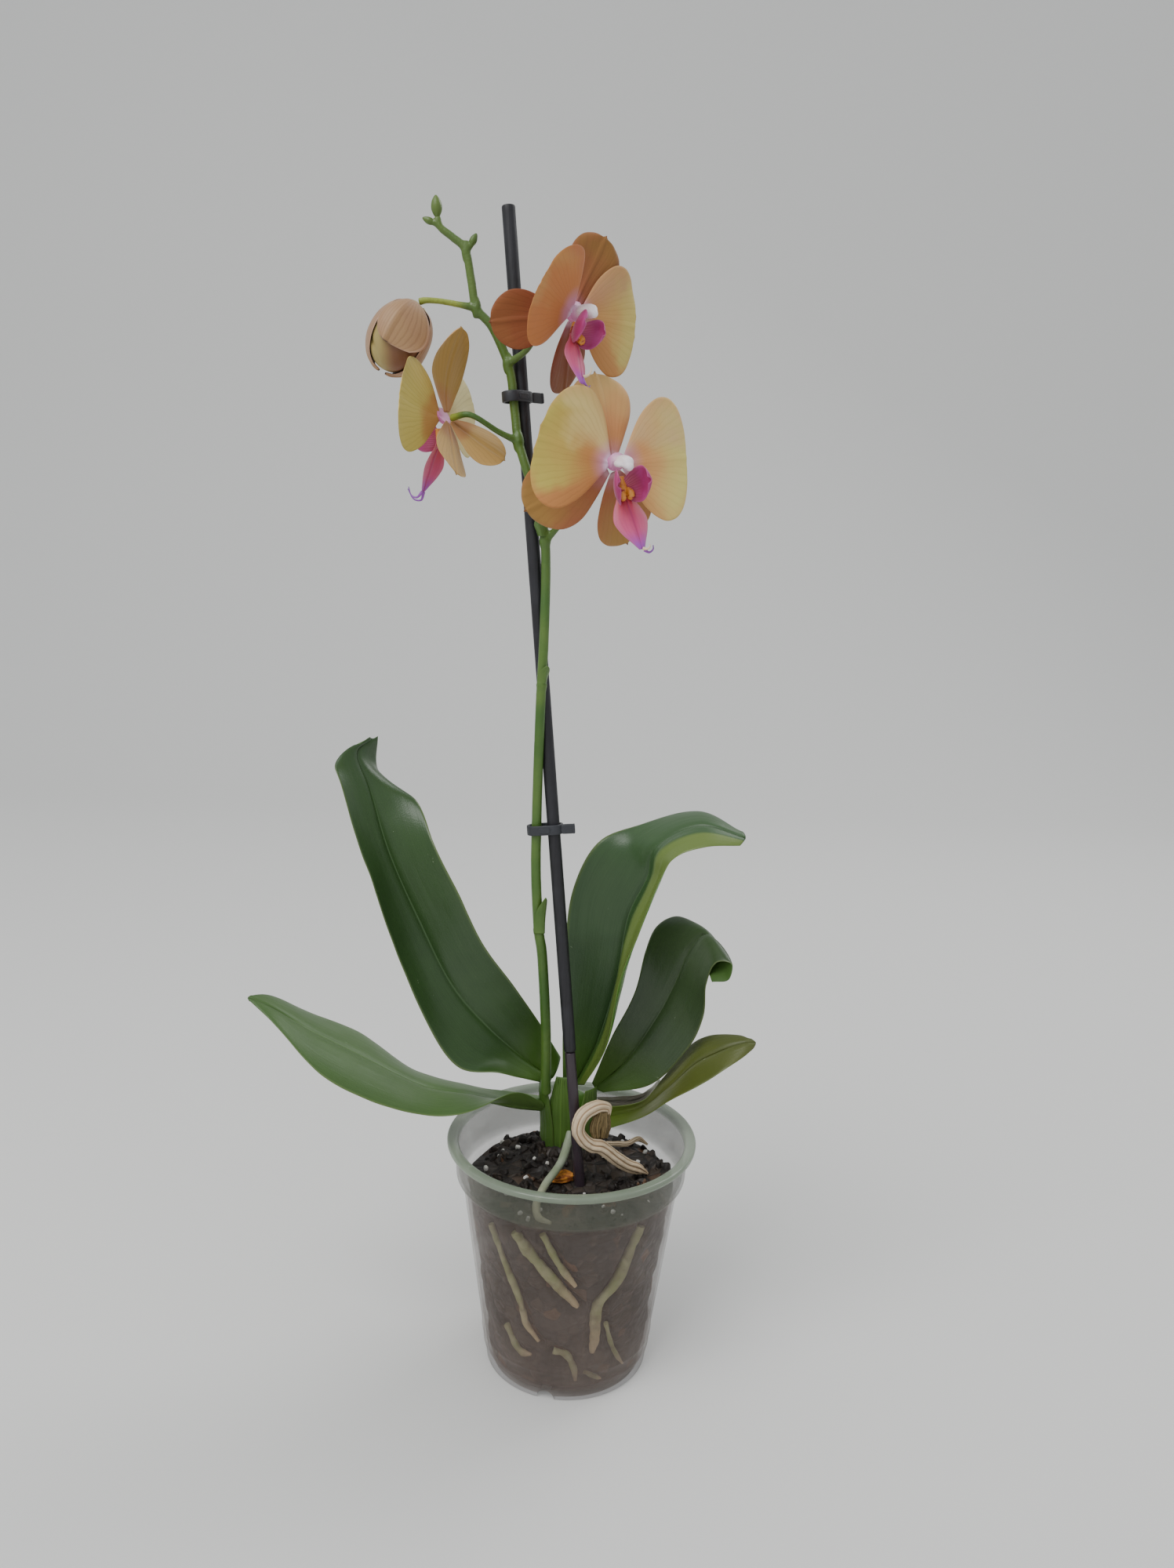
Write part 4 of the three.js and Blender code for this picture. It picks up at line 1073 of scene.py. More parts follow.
# %% Leaf rails
LEAVES = {
    "left_low_leaf": [
        [(-15, 11.5, 125.5), (-28, -4, 137), (-47, -19, 134), (-64, -24, 134), (-90, -30, 143),
         (-114, -30, 155), (-136, -20, 173), (-152, -10, 182)],
        [(-13, 17, 120), (-31, 8, 126), (-49, 0, 134), (-71, -3, 139), (-97, -6, 153), (-123, -8, 167),
         (-141, -9, 178), (-153, -9, 183)],
        [(-15, 23, 123), (-30, 19, 127), (-50, 18, 130), (-79, 20, 137), (-108, 19, 156), (-131, 14, 168),
         (-145, 2, 180), (-152, -8, 184)]],
    "left_upright_leaf": [
        [(-16, 15, 134), (-34, -6, 148), (-54, -12, 153), (-69, -14, 176), (-85, -12, 214), (-98, -8, 250),
         (-110, 0, 283), (-114, 8, 294), (-101, 22, 303)],
        [(-11, 20, 134), (-26, 12, 149), (-42, 6, 166), (-59, 2, 188), (-75, 4, 219), (-89, 6, 250),
         (-99, 12, 279), (-106, 16, 296), (-100, 24, 302)],
        [(-7, 24, 144), (-17, 14, 165), (-29, 4, 187), (-44, -4, 211), (-57, -6, 238), (-68, 0, 258),
         (-78, 14, 275), (-98, 28, 285), (-98, 26, 303)]],
    "right_arching_leaf": [
        [(-5, 18, 131), (-6, 12, 161), (-6, 12, 203), (-3, 14, 233), (8, 16, 256), (28, 20, 265),
         (55, 13, 274), (74, -6, 269)],
        [(0.5, 24, 129), (11.5, 21, 155), (19.5, 18, 187), (24, 14, 220), (32, 8, 242), (35, 2, 259),
         (54, -4, 271), (75, -10, 267)],
        [(5, 18, 132), (15, 2, 159), (20, -7, 194), (28, -9, 219), (37, -14, 248), (43, -18, 259),
         (56, -18, 264), (72, -14, 264)]],
    "right_curled_leaf": [
        [(9.5, 23, 131), (18, 19, 157), (28.5, 17, 181), (33, 18, 202), (38, 18, 215), (47, 16, 221),
         (55, 11, 218), (55, 9, 213), (54, 12, 209)],
        [(11, 26, 127), (26, 20, 145), (39, 16, 168), (47, 11, 188), (53, 4, 208), (59, -4, 219),
         (65, -9, 216), (65, -10, 210), (59, -6, 206)],
        [(15, 23, 126), (38, 12, 136), (54, 4, 158), (60, -3, 177), (60, -12, 197), (63, -21, 211),
         (70, -25, 212), (69, -24, 204), (62, -19, 201)]],
    "right_low_leaf": [
        [(8, 22, 118), (33, 16, 125), (44, 14, 139), (55, 12, 156), (65, 8, 164), (77, 2, 167), (84, -3, 168)],
        [(9, 24, 110), (33, 16, 121), (46, 8, 136), (58, 2, 152), (69, -2, 160), (79, -4, 165), (86, -4, 166)],
        [(11, 18, 106), (34, 4, 122), (46, -6, 136), (59, -12, 147), (70, -14, 156), (80, -9, 161),
         (84, -5, 164)]],
}


def leaf_relief(seed, crease=0.0):
    """Groove down the middle, faint ribs, a slow swell and a crease along the right half, in mm."""
    def relief(u, t, grid):
        groove = -0.75 * np.exp(-(u / 0.055) ** 2) - 0.5 * np.exp(-(u / 0.16) ** 2)
        ribs = 0.02 * np.cos(u * 34) * (1 - u ** 2)
        bent = crease * np.exp(-((u - 0.42) / 0.13) ** 2) * np.sin(np.clip(t * 1.15, 0, 1) * math.pi)
        return groove + ribs + bent + 0.7 * lumps(grid, 26, seed) + 0.18 * lumps(grid, 9, seed + 1)
    return relief


# %% [markdown]
# A leaf's skin is waxy: deep green with a paler band along the groove and paler margins, both painted
# highlight, streaks that run with the ribs, and specks of dust and hard water. The right margin can be painted
# paler still, as painted light. The back is lighter and duller, so the material mixes by which side it is on.

# %% Leaf finish
def leaf_skin(name, deep, fresh, back, gloss, strip=0.0):
    """Waxy green skin in its own shades. strip is how much paler the right margin is painted, as painted
    light.
    """
    material, w, sockets = finish(name, IOR=1.45, Specular_IOR_Level=0.55)
    where, flat = w.place(), w.map()
    across = w.add("SeparateXYZ", {0: flat}, output="X")
    along = w.add("SeparateXYZ", {0: flat}, output="Y")
    middle = w.math("ABSOLUTE", w.math("SUBTRACT", across, 0.5))
    streak = w.noise(w.add("Mapping", {"Vector": flat, "Scale": (26.0, 1.6, 1.0)}), 4.0, 5.0)
    cloud = w.group(BLOTCHES, {"Vector": where, "Scale": 26.0, "Cover": 0.5, "Softness": 0.35})
    tone = w.mix(w.math("MULTIPLY", cloud, 0.55), linear(deep), linear(fresh))
    tone = w.mix(w.spread(streak, 0.35, 0.75, 0.0, 0.3), tone, linear(deep, 0.72))
    # Painted highlight: a paler band along the groove.
    tone = w.mix(w.spread(middle, 0.02, 0.0, 0.0, 0.4), tone, linear(fresh, 1.15))
    # Painted highlight: both margins painted paler.
    tone = w.mix(w.spread(middle, 0.475, 0.5, 0.0, 0.3), tone, linear("#8c9a5c"))
    tone = w.mix(w.spread(along, 0.22, 0.0, 0.0, 0.4), tone, linear("#6f9a34"))
    # Painted light: the right margin painted paler, by strip.
    tone = w.mix(w.spread(across, 0.69, 0.75, 0.0, strip), tone, linear("#74863c"))
    specks = w.group(BLOTCHES, {"Vector": where, "Scale": 520.0, "Cover": 0.255, "Softness": 0.03})
    marks = w.group(BLOTCHES, {"Vector": where, "Scale": 17.0, "Cover": 0.42, "Softness": 0.1})
    tone = w.mix(w.math("MULTIPLY", w.math("MULTIPLY", specks, marks), 0.5), tone, linear("#b7bfa4"))
    under = w.mix(w.spread(streak, 0.3, 0.7, 0.0, 0.4), linear(back), linear(back, 0.72))
    side = w.fact("front")
    colour = w.mix(side, under, tone)
    rough = w.math("ADD", w.spread(streak, 0.3, 0.7, gloss - 0.04, gloss + 0.06),
                   w.math("MULTIPLY", specks, 0.15))
    ribs = w.math("ADD", w.math("MULTIPLY", streak, 0.6), w.group(GRAIN, {"Vector": where, "Scale": 1300.0}))
    feed(w, sockets, Base_Color=colour, Roughness=rough, Normal=w.bump(ribs, 0.16, 0.0006))
    return material


LEAF_SKINS = {
    "left_low_leaf": ("#3e5c28", "#4e6e32", "#5c7a3c", 0.4),
    "left_upright_leaf": ("#2c4422", "#3b5a2a", "#4f7a30", 0.32),
    # The last number of this leaf is how much paler its right margin is painted, as painted light.
    "right_arching_leaf": ("#34502c", "#4a683e", "#5b8a30", 0.34, 0.65),
    "right_curled_leaf": ("#33452a", "#4a5c3c", "#44622c", 0.34),
    "right_low_leaf": ("#4a5424", "#6a6c28", "#4c6a2c", 0.38),
}
for seed, (name, rails) in enumerate(LEAVES.items()):
    skin = leaf_skin(name + "_skin", *LEAF_SKINS[name])
    blade = sheet(f"{name}_blade", rails, 1.9, 130, 48, 0.3,
                  leaf_relief(10 * seed, 2.6 if name == "right_arching_leaf" else 0.0))
    place(blade, name, "leaf", skin)
print(len(LEAVES), "leaves")

# %% [markdown]
# ## Crown
# The leaves meet in a short crown, where the foot of each wraps round the next as a sheath. A lumpy core
# carries three sheaths that lap over it in different greens.

# %% Crown
def joined(name, pieces):
    """Joins pieces into the first one, which takes the name."""
    with bpy.context.temp_override(active_object=pieces[0], object=pieces[0], selected_objects=pieces,
                                   selected_editable_objects=pieces):
        bpy.ops.object.join()
    pieces[0].name = pieces[0].data.name = name
    return pieces[0]


def sheath_rails(first, last, low, high, swell, flare, narrow):
    """Rails of a sheath round the crown, between two headings and two heights."""
    def rail(side):
        points = []
        for s in (0, 0.25, 0.5, 0.75, 1):
            middle, half = (first + last) / 2, (last - first) / 2 * (1 - narrow * s * s)
            angle = math.radians(middle + side * half)
            out = swell + flare * s * s
            points.append((-2 + (12 + out) * math.cos(angle), 20 + (8.5 + out) * math.sin(angle),
                           low + (high - low) * s))
        return points
    return [rail(-1), rail(0), rail(1)]


CROWN_OUTLINE = [(0, 86), (8.4, 86), (9.6, 92), (10.4, 98), (10.9, 106), (10.8, 114), (9.8, 121), (7, 126.5),
                 (3, 128.6), (0, 129)]
core = spun("crown_core", CROWN_OUTLINE, 96)
points = points_of(core)
points = points * (1.1, 0.78, 1) + (-2, 20, 0)
set_points(core, points)


def ribbed(u, t, grid):
    """Fine ribs and lumps on a sheath, in mm."""
    return 0.12 * np.cos(u * 22) + 0.3 * lumps(grid, 8, 2)


crown_skin = leaf_skin("crown_skin", "#3c5a20", "#6a9038", "#4f7a2a", 0.4)
crown = joined("crown_sheaths", [
    core,
    sheet("left_sheath", sheath_rails(160, 240, 92, 133, 1.3, 1.4, 0.45), 1.6, 50, 30, 0, ribbed),
    sheet("middle_sheath", sheath_rails(206, 300, 90, 139, 0.3, 0.6, 0.72), 1.2, 50, 30, 0, ribbed),
    sheet("right_sheath", sheath_rails(284, 366, 92, 132, 0.9, 1.2, 0.5), 1.6, 50, 30, 0, ribbed),
])
place(crown, "crown", "stem", crown_skin)
print("crown has", len(crown.data.polygons), "faces")

# %% [markdown]
# ## Loose roots
# A dead root loops in front of the stake: its papery skin has torn open at the top and shows a core of brown
# fibres. A live grey root runs down to the front wall, a thin dry one lies at the back right, and a chip of
# fresh bark and a papery leaf sheath lie beside them. The ridges of the dry skin come from the stem tree.

# %% Dry skin finish
def dry_skin(name, pale, line, shadow):
    """Papery beige skin with brown stains, and dark lines painted into the grooves between its ridges as
    painted shade.
    """
    material, w, sockets = finish(name, Roughness=0.78)
    where = w.place()
    around = w.fact("around")
    drift = w.math("MULTIPLY", w.noise(where, 70.0, 3.0), 1.6)
    wave = w.math("SINE", w.math("ADD", w.math("MULTIPLY", around, 6.2832 * 7), drift))
    lines = w.spread(wave, -0.55, -0.95)
    stain = w.group(BLOTCHES, {"Vector": where, "Scale": 160.0, "Cover": 0.42, "Softness": 0.2})
    tone = w.mix(w.math("MULTIPLY", stain, 0.45), linear(pale), linear(line))
    # Painted shade: dark lines along the grooves between the ridges, in the shadow shade.
    tone = w.mix(w.math("MULTIPLY", lines, 0.75), tone, linear(shadow))
    feed(w, sockets, Base_Color=tone,
         Normal=w.bump(w.math("SUBTRACT", w.group(GRAIN, {"Vector": where, "Scale": 900.0}), lines),
                       0.5, 0.0008))
    return material


papery = dry_skin("papery_root", "#dcc6a6", "#c4a27a", "#8a6440")
fibre_paint = dry_skin("root_fibre", "#85714a", "#6b5a36", "#3c3018")
DRY_ROOT = [(17.5, -5.6, 128), (16, -6, 132), (11, -9, 133.4), (5, -13, 131), (3, -14.3, 125),
            (5, -14.3, 120), (9, -13, 116), (14, -11, 114), (20, -8, 108), (26, -4, 102), (32, 0, 97.8),
            (35, 1.6, 95.6)]
DRY_WIDTHS = [0.9, 2.4, 3.1, 3.3, 3.2, 3.0, 3.0, 3.1, 3.2, 3.1, 3.0, 2.7, 1.6]
FIBRES = [
    ([(13.5, -8.6, 131), (12.0, -9.8, 125), (12.4, -9.4, 118.5)], [1.3, 1.7, 1.2], 24),
    ([(15.5, -7.6, 130.5), (15.8, -8.4, 124), (14.8, -8.2, 117.5)], [1.2, 1.5, 1.0], 24),
    ([(11, -9.6, 129.5), (9.6, -10.8, 123.5), (11, -10.2, 118)], [1.0, 1.3, 0.9], 24),
    ([(16.9, -6.6, 129), (17.6, -6.8, 123), (16.4, -7.0, 117)], [0.9, 1.1, 0.8], 24),
    ([(13.8, -7.6, 131.5), (14.2, -9.9, 127), (12.6, -10.2, 121.5)], [0.6, 0.8, 0.5], 24),
    ([(13, -6.5, 130), (13.4, -6.6, 124), (13.4, -6.6, 117)], [3.0, 3.6, 2.2], 24),
]
dry_root = joined("dry_root_loop", [
    stem("loop", [(DRY_ROOT, DRY_WIDTHS, 150), ([(34.6, 1.4, 96), (36.6, 2.4, 94.6), (37.8, 2.8, 93.6)],
                                               [1.5, 1.0, 0.4], 16)], papery, 84, 0.9, 4.0, 0.22),
    stem("fibres", FIBRES, fibre_paint, 28, 1.2, 1.6, 0.08),
])
place(dry_root, "dry_root", "dry_root", None)

wet_root, w, sockets = finish("grey_root_skin", Roughness=0.38)
where = w.place()
patches = w.group(BLOTCHES, {"Vector": where, "Scale": 70.0, "Cover": 0.5, "Softness": 0.3})
tone = w.mix(patches, linear("#a3ab97"), linear("#7d8a68"))
tone = w.mix(w.spread(w.fact("along"), 0.35, 0.9), tone, linear("#c3bf9f"))
feed(w, sockets, Base_Color=tone, Normal=w.bump(w.noise(where, 260.0, 3.0), 0.25, 0.0008))
GREY_ROOT = [(-1, 7.5, 112), (-2, 3, 108), (-4, -4, 104), (-7, -10, 101), (-12, -18, 97.5),
             (-15, -31, 96), (-14, -42, 95.5), (-8, -46.5, 95.2)]
GREY_WIDTHS = [1.7, 2.1, 2.1, 1.9, 1.9, 1.7, 1.9, 1.7, 0.7]
grey_root = stem("grey_root_run", [(GREY_ROOT, GREY_WIDTHS, 110)], wet_root, 32, 0.6, 9.0)
place(grey_root, "grey_root", "fresh_root", None)
THIN_ROOT = [(16, 14, 103), (18, 16, 102), (22, 20, 100), (28, 25, 97.5), (34, 32, 96.8), (39, 30, 94.8)]
THIN_WIDTHS = [1.0, 1.2, 1.1, 1.4, 1.2, 1.3, 0.5]
thin_root = stem("thin_dry_root", [(THIN_ROOT, THIN_WIDTHS, 90)], papery, 42, 0.5, 3.0, 0.1)
place(thin_root, "thin_root", "dry_root", None)
print("loose roots:", sum(len(root.data.polygons) for root in (dry_root, grey_root, thin_root)), "faces")

# %% Bark chip and papery sheath
fresh_bark, w, sockets = finish("fresh_bark", Roughness=0.7)
where = w.place()
flake = w.noise(w.add("Mapping", {"Vector": where, "Scale": (1, 2.2, 4)}), 260.0, 5.0)
tone = w.mix(w.spread(flake, 0.35, 0.65), linear("#7a3c0c"), linear("#d68a30"))
feed(w, sockets, Base_Color=tone, Normal=w.bump(flake, 0.8, 0.0012))
bpy.ops.mesh.primitive_ico_sphere_add(subdivisions=5, radius=1)
chip = bpy.context.object
chip.name = chip.data.name = "fresh_bark_chip"
points = np.array([v.co for v in chip.data.vertices])
rough = 1 + 0.28 * lumps(points, 0.8, 2) + 0.1 * lumps(points, 0.3, 4)
points = np.sign(points) * np.abs(points) ** 0.7 * rough[:, None]
points = points @ np.array(Matrix.Rotation(-0.5, 3, "Z")) * (5, 3.4, 2.2) + (-4.5, -5.5, 95.3)
set_points(chip, points)
chip.data.shade_smooth()
place(chip, "bark_chip", "bark_chip", fresh_bark)

parchment, w, sockets = finish("dry_sheath", Roughness=0.7)
fine = w.noise(w.add("Mapping", {"Vector": w.map(), "Scale": (30.0, 2.0, 1.0)}), 3.0, 5.0)
along = w.add("SeparateXYZ", {0: w.map()}, output="Y")
tone = w.mix(w.spread(fine, 0.35, 0.65), linear("#6e6658"), linear("#a39c90"))
tone = w.mix(w.spread(along, 0.6, 0.85), tone, linear("#e2ddd2"))
feed(w, sockets, Base_Color=tone, Normal=w.bump(fine, 0.6, 0.0008))
SHEATH = [[(13, 27, 116), (24, 29, 115), (33, 29, 118), (40, 29, 124), (44, 29, 130)],
          [(13, 28, 119), (24, 30.5, 118), (33, 30.5, 120), (39.5, 30, 125), (44, 29.5, 130.5)],
          [(12, 27, 121), (25, 29, 121), (33, 29, 122), (39, 29, 126), (43.6, 29, 131)]]
sheath = sheet("papery_leaf_sheath", SHEATH, 0.5, 70, 24, 0.3,
               relief=lambda u, t, grid: 0.5 * np.sin(u * 7 + t * 4) + 0.4 * lumps(grid, 4, 1))
place(sheath, "papery_sheath", "dry_root", parchment)
print("chip and sheath lie on the bark")

# %% [markdown]
# ## Flowers
# A moth orchid flower has three sepals behind, two broad petals in front of them, and a lip that is its third
# petal. Each blade is a sheet drawn in the flower's own frame and moved into place. Its map is a fan round
# the flower's axis, so that the veins spread from the claw.

# %% Petal tools
PETAL = {"length": 31.5, "halves": [2.2, 17, 24, 24.3, 20.5, 13.5, 5], "cup": 3, "curl": -2}
DORSAL = {"length": 36, "halves": [2.2, 7.5, 11.5, 12.5, 10.5, 6.5, 2], "cup": 2, "curl": 0}
LATERAL = {"length": 37, "halves": [2.2, 8.5, 13, 13.5, 10.5, 6, 1.5], "cup": 2, "curl": 0}


def petal_rails(length, halves, cup, curl):
    """Rails of a petal that lies along +Y and faces +Z, in mm."""
    widest = max(halves)
    stations = [(half, 3 + length * math.sin(i / (len(halves) - 1) * math.pi / 2))
                for i, half in enumerate(halves)]

    def rail(side):
        return [(side * half, y, curl * ((y - 3) / length) ** 2 + abs(side) * cup * (half / widest) ** 2)
                for half, y in stations]
    return [rail(-1), rail(0), rail(1)]


def petal_pose(shape, layer, angle, lean, twist=0, size=1):
    """The matrix that puts a petal in its flower, in mm."""
    turn = Matrix.Rotation(math.radians(angle - 90), 4, "Z") @ Matrix.Rotation(math.radians(lean), 4, "X")
    turn = turn @ Matrix.Rotation(math.radians(twist), 4, "Y")
    grow = Matrix.Diagonal((size, size, 1, 1))
    return turned_flower(shape) @ Matrix.Translation((0, 0, layer)) @ turn @ grow


def fan_map(side):
    """The map of a petal: how far round from its lower margin to its upper one, and how far out."""
    def uv(u, t, grid):
        angle = np.arctan2(grid[..., 0], np.maximum(grid[..., 1], 0.5))
        return np.stack([0.5 + side * angle / math.pi, np.hypot(grid[..., 0], grid[..., 1]) / 40], -1)
    return uv


def petal_relief(seed, keel, wave, roll):
    """A keel down the middle, soft waves towards the rim and a rim that rolls back, in mm."""
    def relief(u, t, grid):
        fan = np.arctan2(grid[..., 0], np.maximum(grid[..., 1], 0.5))
        out = np.clip(np.abs(u), 0, 1) ** 2 * np.sin(np.clip(t, 0, 1) * math.pi * 0.9)
        out = out + np.clip(t - 0.5, 0, 1)
        height = keel * np.exp(-(u / 0.1) ** 2) * (1 - 0.5 * t)
        height += wave * out * lumps(grid, 17, seed)
        height += 0.07 * np.cos(fan * 44 + 2 * lumps(grid, 12, seed + 2)) * t * (1 - u ** 4)
        return height - roll * np.abs(u) ** 5 * np.sin(t * math.pi) ** 0.5
    return relief


def tip_point(length):
    """Draws the middle of a blade's tip out into a small point."""
    def outline(grid, u, t):
        pull = length * np.exp(-(u / 0.3) ** 2) * np.clip((t - 0.93) / 0.07, 0, 1) ** 2
        moved = grid.copy()
        moved[..., 1] += pull
        return moved
    return outline


# %% [markdown]
# A petal's finish goes from a violet-white flush at the claw, through peach, to yellow-green, with the peach
# coming back towards its lower margin as its own colour and as painted shade, and its upper side painted paler
# as painted light. Darker veins and a fine glitter of cells lie over it. The back is duller and browner.

# %% Petal finishes
def petal_skin(name, outer, middle, upper, back, blush=0.6, green=0.45):
    """Velvety petal in the shades given, its upper side painted paler as painted light."""
    material, w, sockets = finish(name, IOR=1.38, Specular_IOR_Level=0.3, Sheen_Weight=0.12,
                                  Sheen_Roughness=0.5)
    where, flat = w.place(), w.map()
    fan = w.add("SeparateXYZ", {0: flat}, output="X")
    reach = w.add("SeparateXYZ", {0: flat}, output="Y")
    cloud = w.noise(where, 42.0, 3.0)
    offset = w.math("MULTIPLY", w.math("SUBTRACT", cloud, 0.5), 0.9)
    # Painted shade: the yellow-green reaches only the upper part of the fan, so the lower margin stays a
    # darker peach.
    sunny = w.math("MULTIPLY", w.spread(w.math("ADD", reach, offset), 0.3, 0.95),
                   w.spread(w.math("ADD", fan, offset), 0.5 - green, 0.68 - green))
    tone = w.mix(sunny, linear(middle), linear(outer))
    # Painted light: the upper side of the fan is painted paler, in the upper shade.
    tone = w.mix(w.spread(w.math("ADD", fan, offset), 0.6, 0.82, 0.0, 0.8), tone, linear(upper))
    warm = w.math("MULTIPLY", w.spread(w.math("SUBTRACT", 1.0, w.fact("rim")), 0.3, 0.0), 0.35)
    tone = w.mix(warm, tone, linear(middle, 1.06))
    veins = w.group(VEINS, {"Vector": flat, "Count": 34.0, "Wander": 0.9, "Width": 0.26})
    tone = w.mix(w.math("MULTIPLY", w.math("MULTIPLY", veins, w.spread(reach, 0.12, 0.5)), 0.17), tone,
                 w.mix(sunny, linear(middle, 0.72), linear(outer, 0.76)))
    flush = w.spread(w.math("ADD", reach, w.math("MULTIPLY", offset, 0.3)), 0.34, 0.13, 0.0, blush)
    tone = w.mix(flush, tone, linear("#cf8fb4"))
    tone = w.mix(w.spread(reach, 0.17, 0.1, 0.0, blush), tone, linear("#ead9ee"))
    off_middle = w.math("ABSOLUTE", w.math("SUBTRACT", fan, 0.5))
    spot = w.math("MULTIPLY", w.spread(reach, 0.985, 1.0), w.spread(off_middle, 0.02, 0.008))
    tone = w.mix(w.math("MULTIPLY", spot, 0.8), tone, linear("#6b3f22"))
    near_claw = w.spread(w.math("ADD", reach, offset), 0.52, 0.3, 0.0, 0.7)
    dull = w.mix(near_claw, linear(back), linear(middle, 0.8))
    dull = w.mix(w.math("MULTIPLY", veins, 0.25), dull, linear(back, 0.7))
    colour = w.mix(w.fact("front"), dull, tone)
    cells = w.group(GRAIN, {"Vector": where, "Scale": 1500.0})
    feed(w, sockets, Base_Color=colour, Roughness=w.spread(cells, 0.2, 0.8, 0.5, 0.64),
         Normal=w.bump(w.math("SUBTRACT", w.math("MULTIPLY", cells, 0.6), veins), 0.12, 0.0004))
    return material


# Painted light and shade: the two petals of a flower get their own shades, one painted paler and brighter than
# the other.
SKINS = {
    "upper": {"left_petal": ("#c08a52", "#bd7642", "#b06a4c", "#b98553", 0.75, 0.1),
              "right_petal": ("#c6b468", "#c08a54", "#b98866", "#b98553", 0.75, 0.3),
              "dorsal_sepal": ("#8c6434", "#94583a", "#94583a", "#a36a44", 0.3, 0.2),
              "lateral_sepal": ("#8a5430", "#86452c", "#86452c", "#8f5a38", 0.3, 0.2)},
    "lower": {"left_petal": ("#bcab54", "#b87c48", "#d6bd80", "#c39a5e", 0.7, 0.24),
              "right_petal": ("#d8ca78", "#d89c64", "#d8b484", "#c39a5e", 0.7, 0.42),
              "dorsal_sepal": ("#d3b070", "#c88a5a", "#d8a878", "#b98a58", 0.4, 0.3),
              "lateral_sepal": ("#a27a40", "#a56744", "#a8744c", "#a07448", 0.3, 0.3)},
    "left": {"left_petal": ("#e0d496", "#d8c078", "#e6dca8", "#dccf94", 0.4, 0.42),
             "right_petal": ("#d8c870", "#c47c42", "#d0ac68", "#c4b25c", 0.4, 0.42),
             "dorsal_sepal": ("#c8a05c", "#c28258", "#c49060", "#b4904e", 0.3, 0.3),
             "lateral_sepal": ("#c8a860", "#b87850", "#c49a68", "#c09a5c", 0.3, 0.3)},
}
print("shades for", len(SKINS), "flowers")

# %% [markdown]
# The lip has two rounded side lobes that stand up either side of the column, an orange callus between them
# with red marks, and a trowel-shaped middle lobe that ends in two curled tendrils. The column is the white
# hood over the middle.

# %% Lip and column finishes
lobe_skin, w, sockets = finish("lip_lobe_skin", Roughness=0.5, Sheen_Weight=0.15, Sheen_Roughness=0.5)
flat, where = w.map(), w.place()
along = w.add("SeparateXYZ", {0: flat}, output="Y")
streak = w.group(VEINS, {"Vector": flat, "Count": 12.0, "Wander": 1.2, "Width": 0.3})
tone = w.mix(w.spread(along, 0.1, 0.55), linear("#c0607a"), linear("#a02262"))
tone = w.mix(w.spread(w.noise(where, 160.0, 2.0), 0.4, 0.7, 0.0, 0.5), tone, linear("#b8468e"))
tone = w.mix(w.math("MULTIPLY", streak, w.spread(along, 0.6, 0.1, 0.0, 0.6)), tone, linear("#7c0f2c"))
tone = w.mix(w.spread(w.fact("rim"), 0.8, 1.0, 0.0, 0.35), tone, linear("#c86a9c"))
feed(w, sockets, Base_Color=tone,
     Normal=w.bump(w.group(GRAIN, {"Vector": where, "Scale": 1500.0}), 0.2, 0.0004))

middle_skin, w, sockets = finish("lip_middle_skin", Roughness=0.5, Sheen_Weight=0.15, Sheen_Roughness=0.5)
flat, where = w.map(), w.place()
across = w.math("ABSOLUTE", w.math("SUBTRACT", w.add("SeparateXYZ", {0: flat}, output="X"), 0.5))
along = w.add("SeparateXYZ", {0: flat}, output="Y")
tone = w.mix(w.spread(along, 0.1, 0.7), linear("#b8303c"), linear("#c84878"))
tone = w.mix(w.spread(along, 0.6, 0.95), tone, linear("#9a48b4"))
tone = w.mix(w.spread(across, 0.1, 0.0, 0.0, 0.75), tone, linear("#a51e5c"))
tone = w.mix(w.spread(across, 0.3, 0.5, 0.0, 0.45), tone, linear("#d07a92"))
streak = w.group(VEINS, {"Vector": flat, "Count": 9.0, "Wander": 1.6, "Width": 0.3})
tone = w.mix(w.math("MULTIPLY", streak, 0.3), tone, linear("#b03468"))
feed(w, sockets, Base_Color=tone,
     Normal=w.bump(w.group(GRAIN, {"Vector": where, "Scale": 1500.0}), 0.2, 0.0004))

callus_skin, w, sockets = finish("callus_skin", Roughness=0.4)
where = w.place()
marks = w.group(BLOTCHES, {"Vector": where, "Scale": 420.0, "Cover": 0.44, "Softness": 0.05})
tone = w.mix(marks, w.mix(w.noise(where, 260.0, 2.0), linear("#e8b24c"), linear("#d9772e")), linear("#96202c"))
feed(w, sockets, Base_Color=tone)

column_skin, w, sockets = finish("column_skin", Roughness=0.42, IOR=1.4)
along = w.fact("along")
tone = w.mix(w.spread(along, 0.45, 0.0), linear("#f6ecf0"), linear("#cf7fb0"))
feed(w, sockets, Base_Color=tone)

tendril_skins = []
for name, root_shade, tip_shade in (("violet_tendril", "#a050b4", "#7a4a9c"),
                                    ("cream_tendril", "#e2c9a0", "#ead8bc")):
    tendril_skin, w, sockets = finish(name, Roughness=0.45)
    feed(w, sockets, Base_Color=w.mix(w.fact("along"), linear(root_shade), linear(tip_shade)))
    tendril_skins.append(tendril_skin)
print("flower finishes ready")


# %% Lips
def side_lobe(name, side, pose):
    """An upright rounded ear of the lip."""
    stations = [(1.0, 3, 2.6, -9.6), (3.6, 5.2, 5.2, -9.2), (5.8, 8.4, 6.9, -8.4), (7.2, 11.4, 6.9, -7.6),
                (7.9, 13.8, 5.0, -7.0), (7.9, 15.2, 1.3, -6.6)]

    def rail(end, inward):
        return [(side * (x - inward), y + end * half, z) for x, z, half, y in stations]
    return sheet(name, [rail(-side, 1.8), rail(0, 0), rail(side, 1.8)], 0.9, 40, 30, 0.0,
                 relief=lambda u, t, grid: 0.25 * lumps(grid, 7, 3), move=pose)


